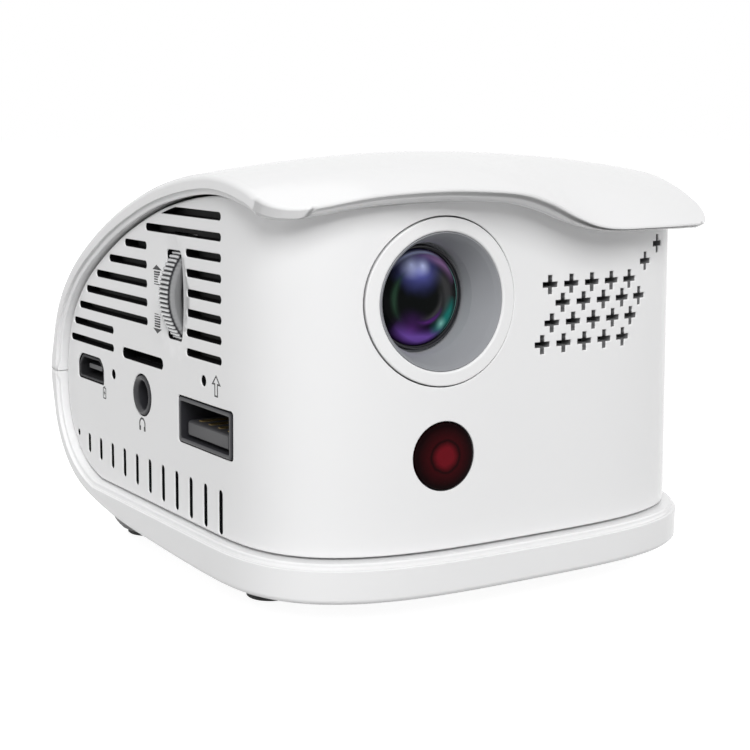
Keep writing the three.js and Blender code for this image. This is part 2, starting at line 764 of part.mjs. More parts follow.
function windowParts() {
  const face = leaning(0, half_length, ring_stand / 2);
  const front = frontAt(lens_x, window_z);
  const back_face = front + wall + window_depth;
  const pane = rod('y', lens_x, window_z, window_radius, wall_front - overrun, back_face, round_sides);
  addPiece('ir_window', pane.intersect(face), red_glass);
  const size = window_radius * 0.8;
  const dome = turned('y', lens_x, window_z, [
    [0, back_face + seam], [size / 2, back_face + seam], [size * 0.8, back_face + size / 2],
    [size * 0.8, back_face + size], [0, back_face + size],
  ], small_sides);
  const can = block([lens_x - size, back_face + size / 2, window_z - size],
    [lens_x + size, back_face + size * 1.3, window_z + size]);
  addPiece('ir_receiver', can.add(dome), black_plastic);
}

// Focus drive: a thumbwheel, its pinion and axle, and the geared ring round the barrel.
const gear_run = Math.hypot(lens_x - wheel_x, lens_z - wheel_z);
const gear_module = 2 * gear_run / (pinion_teeth + ring_teeth);
const gear_line = Math.atan2(lens_z - wheel_z, lens_x - wheel_x);
const rear_plate = wheel_y - wheel_width / 2 - running_gap - bracket_plate;
const gear_back = rear_plate - running_gap;
const gear_front = gear_back - gear_width;
const front_plate = gear_front - running_gap - bracket_plate;

function gearShape(u, v, teeth, turn) {
  const pitch = teeth * gear_module / 2;
  const base = pitch * Math.cos(pressure_angle);
  const root = pitch - dedendum_share * gear_module;
  const tip = pitch + gear_module * addendum_share;
  const involute = (angle) => Math.tan(angle) - angle;
  const half_tooth = Math.PI / (2 * teeth) - gear_backlash / (2 * pitch);
  const halfAt = (radius) => half_tooth + involute(pressure_angle)
    - involute(Math.acos(Math.min(base / radius, 1)));
  const start = Math.max(base, root);
  const deep_root = base - root > 0.4 * gear_module;
  const points = [];
  for (let k = 0; k < teeth; k += 1) {
    const middle = turn + k * 2 * Math.PI / teeth;
    const [foot, crest] = [halfAt(start), halfAt(tip)];
    const tooth = [[start, -foot], [tip, -crest], [tip, crest], [start, foot]];
    if (deep_root) {
      tooth.unshift([root, -foot * undercut_share]);
      tooth.push([root, foot * undercut_share]);
    }
    for (const [radius, angle] of tooth) {
      points.push([u + radius * Math.cos(middle + angle), v + radius * Math.sin(middle + angle)]);
    }
  }
  return polygon(points);
}

function focusParts() {
  const rim = new THREE.Shape();
  for (let k = 0; k < wheel_ribs * 2; k += 1) {
    const angle = (k + 0.5) * Math.PI / wheel_ribs;
    const radius = wheel_radius - (k % 2) * rib_depth;
    const place = [wheel_x + radius * Math.cos(angle), wheel_z + radius * Math.sin(angle)];
    if (k === 0) rim.moveTo(...place);
    else rim.lineTo(...place);
  }
  const [from, to] = [wheel_y - wheel_width / 2, wheel_y + wheel_width / 2];
  const dish = wheel_width * 0.25;
  const recess = (a, b) => rod('y', wheel_x, wheel_z, wheel_radius * 0.78, a, b, round_sides);
  const bore = rod('y', wheel_x, wheel_z, axle_radius + fit_gap, from - overrun, to + overrun);
  const hub = rod('y', wheel_x, wheel_z, axle_radius * 2.5, from, to);
  const wheel = prism('y', rim, from, to)
    .subtract(recess(from - overrun, from + dish)).subtract(recess(to - dish, to + overrun)).add(hub);
  addPiece('focus_wheel', wheel.subtract(bore), silver_plastic);
  const pinion = prism('y', gearShape(wheel_x, wheel_z, pinion_teeth, gear_line), gear_front, gear_back);
  addPiece('focus_pinion', pinion.subtract(bore.translate([0, gear_front - from, 0]))
    .subtract(bore), brass);
  const [axle_front, axle_back] = [front_plate - wall / 2, to + wall / 2];
  addPiece('focus_axle', rod('y', wheel_x, wheel_z, axle_radius, axle_front, axle_back), steel);
  const turn = gear_line + Math.PI + Math.PI / ring_teeth;
  const ring = prism('y', gearShape(lens_x, lens_z, ring_teeth, turn), gear_front, gear_back);
  const through = rod('y', lens_x, lens_z, barrel_radius + running_gap,
    front_plate - overrun, gear_back + overrun, round_sides);
  addPiece('focus_ring', ring.subtract(through), black_plastic);
  bracketPart();
}

// The bracket's two plates carry the barrel and the axle, and its bridge reaches the engine.
const engine_left = lens_x - engine_width / 2;
const engine_bottom = board_top + engine_stand;
const engine_top = lens_z + barrel_radius;
const bridge_left = lens_x + ring_teeth * gear_module / 2 + gear_module + running_gap * 2;

function bracketPart() {
  const reach = barrel_radius + wall;
  const left = wheel_x - axle_radius - wall;
  const plate = (from) => {
    const arm = polygon([
      [left, wheel_z - wall - axle_radius], [lens_x - reach, lens_z - reach],
      [bridge_left + wall, lens_z - reach], [bridge_left + wall, lens_z + reach],
      [lens_x - reach, lens_z + reach], [left, wheel_z + wall + axle_radius],
    ]);
    return prism('y', arm, from, from + bracket_plate);
  };
  const bridge = block([bridge_left, front_plate, lens_z - reach],
    [bridge_left + wall, engine_front - seam, lens_z + reach]);
  const through = rod('y', lens_x, lens_z, barrel_radius + running_gap,
    front_plate - overrun, engine_front, round_sides);
  const bearing = rod('y', wheel_x, wheel_z, axle_radius + fit_gap, front_plate - overrun, engine_front);
  const bracket = union([plate(front_plate), plate(rear_plate), bridge]);
  addPiece('lens_bracket', bracket.subtract(through).subtract(bearing), black_plastic);
}

function engineParts() {
  const right = engine_left + engine_width;
  const rear = engine_rear;
  const slope_foot = engine_top - engine_length / 3;
  const side = polygon([
    [engine_front, engine_bottom], [rear, engine_bottom], [rear, slope_foot],
    [engine_front + engine_length / 2, engine_top], [engine_front, engine_top],
  ]);
  let engine = prism('x', side, engine_left, right);
  engine = engine.subtract(rod('y', lens_x, lens_z, barrel_radius * 0.7,
    engine_front - overrun, engine_front + wall * 2, round_sides / 2));
  for (const x of [lens_x, right - wall]) {
    for (const y of [engine_front + wall, rear - wall]) {
      engine = engine.add(rod('z', x, y, wall * 0.7, board_top, engine_bottom + wall));
    }
  }
  addPiece('optical_engine', engine, black_plastic);
  addPiece('imager_board', block([engine_left + wall, rear + seam, engine_bottom],
    [right - wall, rear + seam + board_thickness, slope_foot - wall / 2]), green_board);
  const led_right = right + seam + wall;
  const middle = engine_front + engine_length / 2;
  addPiece('led_module', block([right + seam, middle - 2 * wall, engine_bottom],
    [led_right, middle + 2 * wall, lens_z]), yellow_board);
  const sink_left = led_right + seam;
  const sink_right = fan_left - sink_clear;
  const sink_bottom = engine_bottom - wall;
  let sink = block([sink_left, engine_front, sink_bottom], [sink_left + wall, rear - wall, lens_z]);
  for (let k = 0; k < sink_fins; k += 1) {
    const y = engine_front + k * (engine_length - wall * 1.5) / (sink_fins - 1);
    sink = sink.add(block([sink_left, y, sink_bottom], [sink_right, y + wall / 3, lens_z]));
  }
  addPiece('heat_sink', sink, aluminium);
}

function fanParts() {
  const right = fan_left + fan_depth;
  const z = fan_bottom + fan_size / 2;
  const bore = fan_size / 2 - wall / 2;
  const mount = wall / 2;
  let frame = prism('x', roundedBox(fan_y, z, fan_size, fan_size, wall), fan_left, right)
    .subtract(rod('x', fan_y, z, bore, fan_left - overrun, right - mount, round_sides));
  const web = rod('x', fan_y, z, bore, right - wall, right + overrun, round_sides)
    .subtract(rod('x', fan_y, z, fan_hub, right - wall, right + overrun, small_sides * 2));
  let spokes = block([right - mount, fan_y - bore - mount, z - mount],
    [right, fan_y + bore + mount, z + mount]);
  spokes = spokes.add(block([right - mount, fan_y - mount, z - bore - mount],
    [right, fan_y + mount, z + bore + mount]));
  frame = frame.subtract(web).add(spokes);
  const corner = fan_size / 2 - wall * 1.4;
  for (const [a, b] of [[1, 1], [1, -1], [-1, 1], [-1, -1]]) {
    frame = frame.subtract(rod('x', fan_y + a * corner, z + b * corner, screw_radius,
      fan_left - overrun, right + overrun));
  }
  addPiece('fan_frame', frame, black_plastic);
  const hub_back = right - mount - running_gap;
  let rotor = rod('x', fan_y, z, fan_hub, fan_left + mount, hub_back, small_sides * 2);
  const reach = bore - running_gap * 2;
  for (let k = 0; k < fan_blades; k += 1) {
    const chord = (hub_back - fan_left - mount) * 0.42;
    const blade = sweep('z', polygon([[-chord, -chord * 0.75], [-chord * 0.8, -chord * 0.95],
      [chord, chord * 0.75], [chord * 0.8, chord * 0.95]]), fan_hub * 0.8, reach);
    blade.rotateX(k * 2 * Math.PI / fan_blades);
    blade.translate((fan_left + mount + hub_back) / 2, fan_y, z);
    rotor = rotor.add(solid(blade));
  }
  addPiece('fan_rotor', rotor, black_plastic);
}

function boardParts() {
  const front = back(-0.56);
  const rear = back(0.73);
  const left = -panel_inner + wall / 2;
  const right = fan_left - wall / 2;
  let board = block([left, front, board_bottom], [right, rear, board_top]);
  for (const [, x, y] of standoff_places) {
    board = board.subtract(rod('z', x, y, screw_radius + fit_gap, 0, body_height));
  }
  for (const [x, y, width, length, rise] of chip_shares) {
    const [chip_x, chip_y] = [left + x * (right - left), front + y * (rear - front)];
    const far = [chip_x + width * (right - left), chip_y + length * (rear - front)];
    board = board.add(block([chip_x, chip_y, board_top - board_thickness / 2],
      [...far, board_top + rise * board_thickness]));
  }
  addPiece('main_board', board.intersect(leaning(wall + seam, half_length)), green_board);
  for (const [name, x, y] of standoff_places) {
    screw(`board_screw_${name}`, x, y, board_top, -1);
  }
  const floor = undersideAt(battery_length / 2) + floor_thickness + seam;
  const [cell_left, cell_right] = [battery_side - panel_inner, fan_left - battery_clear];
  const cell = roundedBox((cell_left + cell_right) / 2, floor + battery_height / 2,
    cell_right - cell_left, battery_height, battery_height * 0.3);
  addPiece('battery', prism('y', cell, -battery_length / 2, battery_length / 2), cell_wrap);
}

// A pan-head screw; its head sits on `seat` and its shank points up (1) or down (-1).
function screw(name, x, y, seat, way) {
  const profile = [
    [0, -screw_crown], [screw_head, -screw_crown], [screw_head, 0], [screw_radius, 0],
    [screw_radius, screw_length * 0.95], [0, screw_length * 0.95],
  ].map(([radius, along]) => [radius, seat + way * along]);
  addPiece(name, turned('z', x, y, way > 0 ? profile : profile.reverse(), small_sides), steel);
}

function speakerPart() {
  const front = speakerFront() + fit_gap;
  const r = speaker_radius;
  addPiece('speaker', turned('y', speaker_x, speaker_z, [
    [0, front + speaker_depth * 0.25], [r * 0.3, front + speaker_depth * 0.2],
    [r * 0.8, front + speaker_depth * 0.05], [r * 0.9, front + speaker_depth * 0.1], [r, front],
    [r, front + speaker_depth * 0.3], [r * 0.6, front + speaker_depth * 0.6],
    [r * 0.6, front + speaker_depth], [0, front + speaker_depth],
  ], small_sides * 2), black_plastic);
}

function socketParts() {
  const face = -panel_half;
  const usb_back = face + usb_depth;
  const mouth = roundedBox(usb_y, usb_z, usb_width - 2 * usb_skin, usb_height - 2 * usb_skin, fit_gap * 2);
  let shell = prism('x', roundedBox(usb_y, usb_z, usb_width, usb_height, fit_gap * 3), face, usb_back)
    .subtract(prism('x', mouth, face - overrun, usb_back - usb_skin));
  const leg = usb_width / 2 - usb_skin * 2;
  for (const side of [-1, 1]) {
    shell = shell.add(block([usb_back - usb_skin * 8, usb_y + side * leg - usb_skin, usb_z],
      [usb_back - usb_skin * 4, usb_y + side * leg + usb_skin, board_bottom]).subtract(
      prism('x', mouth, face - overrun, usb_back - usb_skin)));
  }
  addPiece('usb_socket', shell, black_plastic);
  const tongue_low = usb_z - usb_height / 2 + usb_skin * 1.6;
  const tongue_side = usb_width / 2 - usb_skin - usb_tongue_side;
  addPiece('usb_tongue', block([face + usb_skin, usb_y - tongue_side, tongue_low],
    [usb_back - usb_skin - fit_gap, usb_y + tongue_side, tongue_low + usb_tongue_height]), grey_plastic);
  const micro_back = face + micro_depth;
  addPiece('micro_usb_socket', prism('x', microShape(micro_skin), face + fit_gap, micro_back)
    .subtract(prism('x', microShape(0), face - overrun, micro_back - micro_skin)), steel);
  const blade = micro_height * 0.3;
  const blade_half = micro_width * 0.3;
  addPiece('micro_usb_tongue', block([face + micro_skin * 2, micro_y - blade_half, micro_z - blade / 2],
    [micro_back - micro_skin - fit_gap, micro_y + blade_half, micro_z + blade / 2]), black_plastic);
  const card_top = card_z + card_slot / 2 + micro_skin;
  const inside = -panel_inner + fit_gap;
  addPiece('card_socket', block([inside, card_y - card_width / 2 - micro_skin * 2, board_top],
    [inside + card_depth, card_y + card_width / 2 + micro_skin * 2, card_top]).subtract(
    block([inside - overrun, card_y - card_width / 2, card_z - card_slot / 2],
      [inside + card_depth - micro_skin, card_y + card_width / 2, card_z + card_slot / 2])), steel);
  const body_half = jack_width / 2;
  const bore = rod('x', jack_y, jack_z, jack_bore, face - overrun, inside + jack_depth - wall,
    small_sides * 2);
  const mouth_cone = turned('x', jack_y, jack_z, [
    [0, face - overrun], [jack_bore + overrun + fit_gap, face - overrun], [jack_bore, face + fit_gap * 2],
    [0, face + fit_gap * 2],
  ], small_sides * 2);
  const collar = rod('x', jack_y, jack_z, jack_collar, face - fit_gap, inside + wall, small_sides * 2);
  addPiece('headphone_jack', collar
    .add(block([inside, jack_y - body_half, jack_z - board_bottom + jack_z],
      [inside + jack_depth, jack_y + body_half, board_bottom]))
    .subtract(bore).subtract(mouth_cone), black_plastic);
}

// A side-pressed switch on the board's edge, with the plunger that a pin or a cap pushes.
function tactSwitch(body_name, plunger_name, y, low, high, z) {
  const face = -panel_inner + seam + plunger_length;
  const body = block([face, y - tact_width / 2, low], [face + tact_depth, y + tact_width / 2, high]);
  const well = rod('x', y, z, plunger_radius + fit_gap, face - overrun, face + tact_depth / 2, small_sides);
  addPiece(body_name, body.subtract(well), steel);
  addPiece(plunger_name, rod('x', y, z, plunger_radius, face - plunger_length, face + fit_gap, small_sides),
    black_plastic);
}

function buttonParts() {
  const reset_low = board_bottom - tact_height * 1.4;
  tactSwitch('reset_switch', 'reset_button', reset_y, reset_low, board_bottom, reset_z);
  tactSwitch('upgrade_switch', 'upgrade_button', upgrade_y, board_top, board_top + tact_height, upgrade_z);
  const cap_face = panel_half + power_stand;
  const stem = power_radius * 0.4;
  const inner = panel_inner - seam;
  const flange = inner - wall / 3;
  addPiece('power_button', turned('x', power_y, power_z, [
    [0, flange - wall / 3], [stem, flange - wall / 3], [stem, flange], [power_radius * 1.3, flange],
    [power_radius * 1.3, inner], [power_radius, inner], [power_radius, cap_face - power_stand * 0.4],
    [power_radius * 0.85, cap_face], [0, cap_face - power_stand * 0.15],
  ], small_sides * 2), white_gloss);
  const rear = flange - wall / 3 - power_stand;
  addPiece('power_switch', block([rear - wall / 2, power_y - tact_width * 0.7, power_z - tact_width * 0.7],
    [rear, power_y + tact_width * 0.7, power_z + tact_width * 0.7]), black_plastic);
}

function screenParts() {
  const [outer, inner] = [-panel_inner + fit_gap, -panel_inner + fit_gap + seam * 2];
  const front = vent_front - wall;
  const block_low = vent_top - 7 * vent_pitch - wall / 2;
  const rear_low = vent_top - 6 * vent_pitch - wall / 2;
  const low = vent_top - 8 * vent_pitch - wall / 2;
  const gap = slot_width / 2 + running_gap * 4;
  const wheel_top = wheel_z + Math.sqrt((wheel_radius + running_gap * 2) ** 2 - (wheel_x - inner) ** 2);
  const edge = [[half_length, low], [half_length, body_height], [front, body_height]];
  const step = [[vent_low_start - wall, rear_low], [vent_low_start - wall, low], ...edge];
  const room = insideCovers(seam * 2).intersect(leaning(wall + fit_gap, half_length));
  const strip = polygon([
    [front, deck_height + seam * 2], [half_length, deck_height + seam * 2],
    [half_length, grille_top + wall / 2], [front, grille_top + wall / 2],
  ]);
  const port = prism('x', polygon([
    [front, block_low], [wheel_y - gap, block_low], [wheel_y - gap, wheel_top], [wheel_y + gap, wheel_top],
    [wheel_y + gap, rear_low], ...step,
  ]), outer, inner);
  const starboard = prism('x', polygon([
    [front, block_low], [wheel_y, block_low], [wheel_y, rear_low], ...step,
  ]), outer, inner);
  const grille = prism('x', strip, outer, inner).intersect(room);
  addPiece('vent_screen_port', port.intersect(room), black_foam);
  addPiece('vent_screen_starboard', mirrored(starboard.intersect(mirrored(room))), black_foam);
  addPiece('grille_screen_port', grille, black_foam);
  addPiece('grille_screen_starboard', mirrored(grille), black_foam);
}

function feetParts() {
  for (const [name, x, y] of feet_places) {
    const top = socketTop(y);
    const centre = Math.sqrt(foot_radius ** 2 - (sole_radius * 0.8) ** 2);
    const profile = [[0, sole_height]];
    const steps = 4;
    const widest = Math.min(centre, top - seam);
    for (let k = 0; k <= steps; k += 1) {
      const z = sole_height + (widest - sole_height) * k / steps;
      profile.push([Math.sqrt(foot_radius ** 2 - (centre - z) ** 2), z]);
    }
    profile.push([foot_radius, top], [0, top]);
    addPiece(`foot_${name}`, turned('z', x, y, profile, foot_sides), grey_rubber);
    addPiece(`sole_${name}`, rod('z', x, y, sole_radius, 0, sole_height, foot_sides), dark_rubber);
  }
}

topCover();
bottomCover();
mainShell();
lensParts();
windowParts();
focusParts();
engineParts();
fanParts();
boardParts();
speakerPart();
socketParts();
buttonParts();
screenParts();
feetParts();
for (const [name, x, y] of screw_places) {
  screw(`base_screw_${name}`, x, y, screwSeat(y), 1);
}

export default projector;
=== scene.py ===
"""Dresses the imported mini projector: mouldings with cut vents, lens, sockets, wheel, feet and prints, in a studio.

Shapes are worked out in millimetres, in the frame of the part, and become metres when a mesh is made.
"""
import json
import logging
import math
from dataclasses import dataclass, field
from enum import Enum
from typing import Callable, Optional, Sequence

import bmesh
import bpy
import numpy as np
from mathutils import Euler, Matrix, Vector, kdtree
from mathutils.geometry import delaunay_2d_cdt


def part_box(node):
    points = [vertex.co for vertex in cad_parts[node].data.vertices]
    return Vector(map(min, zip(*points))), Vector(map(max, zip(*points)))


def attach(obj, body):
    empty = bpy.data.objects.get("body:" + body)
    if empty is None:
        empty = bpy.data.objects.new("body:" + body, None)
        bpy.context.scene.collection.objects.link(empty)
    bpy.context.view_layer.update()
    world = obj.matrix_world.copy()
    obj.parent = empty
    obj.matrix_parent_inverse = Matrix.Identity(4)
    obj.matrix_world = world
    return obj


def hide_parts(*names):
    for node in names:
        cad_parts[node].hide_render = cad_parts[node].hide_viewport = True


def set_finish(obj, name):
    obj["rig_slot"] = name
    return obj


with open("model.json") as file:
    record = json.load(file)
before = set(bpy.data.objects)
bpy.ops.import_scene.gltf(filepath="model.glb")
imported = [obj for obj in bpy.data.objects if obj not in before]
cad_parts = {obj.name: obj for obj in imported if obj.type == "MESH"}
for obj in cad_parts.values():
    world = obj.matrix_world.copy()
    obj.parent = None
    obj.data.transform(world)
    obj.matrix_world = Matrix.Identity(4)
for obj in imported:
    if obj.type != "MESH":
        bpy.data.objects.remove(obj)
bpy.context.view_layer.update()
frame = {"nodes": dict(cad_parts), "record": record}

MM = 0.001
HOUSING = "housing"

# Lengths in millimetres under which a vector has no direction, a size is nought and two places are one
NO_LENGTH = 1e-12
TINY = 1e-6
MERGED = 1e-7

# Limits that keep outlines sound: the sharpest mitre, the end radius of a slot, the share of a step at which points
# crowd, the cosine under which a turn is a corner, and the share of an edge that a rounding may take
MITRE_LIMIT = 0.35
HALF_ROUND = 0.499
CROWDED = 0.02
CORNER_COSINE = 0.8
EDGE_SHARE = 0.45

Mapping = Callable[[np.ndarray], np.ndarray]
Pair = tuple[float, float]
Triple = tuple[float, float, float]
Piece = bpy.types.Object
Socket = bpy.types.NodeSocket
log = logging.getLogger("projector")


class Side(Enum):
    """A side panel, by the sign of its x."""

    PORT = -1
    STARBOARD = 1


class Way(Enum):
    """The direction in which a turned or lofted piece grows."""

    FORWARD = "forward"
    UP = "up"
    INBOARD = "inboard"
    OUTBOARD = "outboard"


def unit(vectors: np.ndarray) -> np.ndarray:
    """Vectors scaled to length one."""
    return vectors / np.maximum(np.linalg.norm(vectors, axis=-1, keepdims=True), NO_LENGTH)


# Closed outlines in a plane


def is_ccw(loop: np.ndarray) -> bool:
    """Whether a closed outline runs anticlockwise."""
    u, v = loop[:, 0], loop[:, 1]
    return float(np.sum(u * np.roll(v, -1) - np.roll(u, -1) * v)) > 0


def outward(loop: np.ndarray) -> np.ndarray:
    """Mitred outward directions at the points of an outline.

    Args:
        loop: Anticlockwise outline.

    Returns:
        One direction a point, longer where the outline turns.
    """
    edge = unit(np.roll(loop, -1, 0) - loop)
    after = np.stack([edge[:, 1], -edge[:, 0]], 1)
    before = np.roll(after, 1, 0)
    along = 1 + np.sum(before * after, 1, keepdims=True)
    return (before + after) / np.maximum(along, MITRE_LIMIT)


def arc(u: float, v: float, radius: float, start: float, end: float, steps: int) -> list[Pair]:
    """Points along an arc.

    Args:
        u: First coordinate of the centre.
        v: Second coordinate of the centre.
        radius: Radius of the arc.
        start: First angle in degrees.
        end: Last angle in degrees.
        steps: Number of steps.

    Returns:
        The points, both ends included.
    """
    angles = np.radians(np.linspace(start, end, steps + 1))
    return [(u + radius * math.cos(a), v + radius * math.sin(a)) for a in angles]


def circle(u: float, v: float, radius: float, count: int = 48) -> np.ndarray:
    """A round outline."""
    return np.array(arc(u, v, radius, 0, 360, count)[:-1])


def rounded_box(u: float, v: float, width: float, height: float, radius: float, steps: int = 5) -> np.ndarray:
    """A rectangle with round corners, centred on a point.

    Args:
        u: First coordinate of the centre.
        v: Second coordinate of the centre.
        width: Size along u.
        height: Size along v.
        radius: Corner radius.
        steps: Steps in each corner.

    Returns:
        The anticlockwise outline.
    """
    far_u, far_v = width / 2 - radius, height / 2 - radius
    points: list[Pair] = []
    for (a, b), start in zip(((1, 1), (-1, 1), (-1, -1), (1, -1)), (0, 90, 180, 270)):
        points += arc(u + a * far_u, v + b * far_v, radius, start, start + 90, steps)
    return np.array(points)


def slot(u: float, v: float, width: float, height: float) -> np.ndarray:
    """A slot with half-round ends, whose straight sides keep a trace of length."""
    return rounded_box(u, v, width, height, min(width, height) * HALF_ROUND)


def plus(far: float, near: float) -> np.ndarray:
    """A plus sign's outline, from the reach and the half width of its arms."""
    corner = [(far, -near), (far, near), (near, near), (near, far), (-near, far), (-near, near)]
    return np.array(corner + [(-a, -b) for a, b in corner])


def refined(loop: np.ndarray, step: float) -> np.ndarray:
    """The outline with long edges divided, and points that fall together removed.

    Args:
        loop: Closed outline.
        step: Longest edge that stays whole.

    Returns:
        The outline with more points.
    """
    apart = np.linalg.norm(loop - np.roll(loop, 1, 0), axis=1) > step * CROWDED
    kept = loop[apart]
    points = []
    for start, end in zip(kept, np.roll(kept, -1, 0)):
        count = max(1, math.ceil(np.linalg.norm(end - start) / step))
        points += [start + (end - start) * k / count for k in range(count)]
    return np.array(points)


def inside(points: np.ndarray, loop: np.ndarray) -> np.ndarray:
    """Which points lie inside a closed outline.

    Args:
        points: Points to test, one a row.
        loop: Closed outline.

    Returns:
        One truth value a point.
    """
    hit = np.zeros(len(points), bool)
    for (u0, v0), (u1, v1) in zip(loop, np.roll(loop, -1, 0)):
        if v0 == v1:
            continue
        crosses = (v0 > points[:, 1]) != (v1 > points[:, 1])
        at = u0 + (points[:, 1] - v0) * (u1 - u0) / (v1 - v0)
        hit ^= crosses & (points[:, 0] < at)
    return hit


def between(points: np.ndarray, loops: Sequence[np.ndarray]) -> np.ndarray:
    """Which points lie inside the first of some closed outlines and outside the others.

    Args:
        points: Points to test, one a row.
        loops: The outlines.

    Returns:
        One truth value a point.
    """
    keep = inside(points, loops[0])
    for loop in loops[1:]:
        keep &= ~inside(points, loop)
    return keep


# Meshes


def linked(name: str, data: bpy.types.ID) -> Piece:
    """A new object with its data, linked to the scene."""
    piece = bpy.data.objects.new(name, data)
    bpy.context.scene.collection.objects.link(piece)
    return piece


def band(lower: list[int], upper: list[int]) -> list[tuple[int, ...]]:
    """Faces between two closed rows of vertex numbers."""
    return list(zip(lower, lower[1:] + lower[:1], upper[1:] + upper[:1], upper))


def new_object(
    name: str, points: np.ndarray, faces: Sequence[Sequence[int]],
    normals: Optional[np.ndarray] = None, sharp: float = 32, shade_painted: Sequence[int] = (),
) -> Piece:
    """Makes a closed mesh object with smooth shading.

    Args:
        name: Name of the piece.
        points: Vertices in millimetres.
        faces: Vertex numbers of each face.
        normals: Shading normal of each vertex, or None to shade by angle.
        sharp: Angle in degrees past which an edge stays sharp.
        shade_painted: Numbers of the faces that take the piece's second finish, painted shade.

    Returns:
        The object, linked to the scene.
    """
    mesh = bpy.data.meshes.new(name)
    mesh.from_pydata((np.asarray(points) * MM).tolist(), [], [tuple(map(int, face)) for face in faces])
    work = bmesh.new()
    work.from_mesh(mesh)
    bmesh.ops.recalc_face_normals(work, faces=work.faces)
    work.to_mesh(mesh)
    work.free()
    for k in shade_painted:
        mesh.polygons[k].material_index = 1
    mesh.shade_smooth()
    if normals is None:
        mesh.set_sharp_from_angle(angle=math.radians(sharp))
    else:
        mesh.normals_split_custom_set_from_vertices(unit(np.asarray(normals)).tolist())
    return linked(name, mesh)


@dataclass
class Rim:
    """The edge of a sheet: its outer and inner rounding, and the step inside it.

    The step fades out where the outer rounding is under `stepless`. Each row of `step_form` is a share of the
    step's width, an extra depth, and how far the shading turns to the step's floor.
    """

    outer: float = 0.3
    inner: float = 0.15
    step_width: float = 0.0
    step_depth: float = 0.0
    stepless: float = 0.12
    least_step: float = 0.02
    steps: int = 3
    step_form: tuple[Triple, ...] = ((0, 0.06, 0), (0.12, 0, 0.7), (0.94, 0, 1), (1, -0.06, 0.5))

    def levels(self, radius: np.ndarray) -> list[tuple[np.ndarray, np.ndarray, bool, float, float]]:
        """The rings of the edge from the outer skin to the inner one.

        Args:
            radius: Outer rounding at each point of the outline.

        Returns:
            For each ring the inset, the depth, whether that depth counts from the inner skin, and the shares of
            the surface's normal and of the edge's direction in its shading normal.
        """
        rings = []
        turns = np.radians(np.linspace(0, 90, self.steps + 1)).tolist()
        flat, inner = np.ones(len(radius)), np.minimum(radius, self.inner)
        inset = self.step_width * np.clip(radius / self.stepless - 1, self.least_step, 1)
        for turn in turns:
            rings.append((radius * (1 - math.sin(turn)), radius * (1 - math.cos(turn)), False,
                          math.cos(turn), math.sin(turn)))
        if self.step_width > 0:
            for share, depth, rise in self.step_form:
                rings.append((inset * share, flat * (self.step_depth + depth), True, -rise, 1 - rise))
        for turn in turns:
            rings.append((inset + inner * (1 - math.cos(turn)), inner * (1 - math.sin(turn)), True,
                          -math.sin(turn), math.cos(turn)))
        return rings


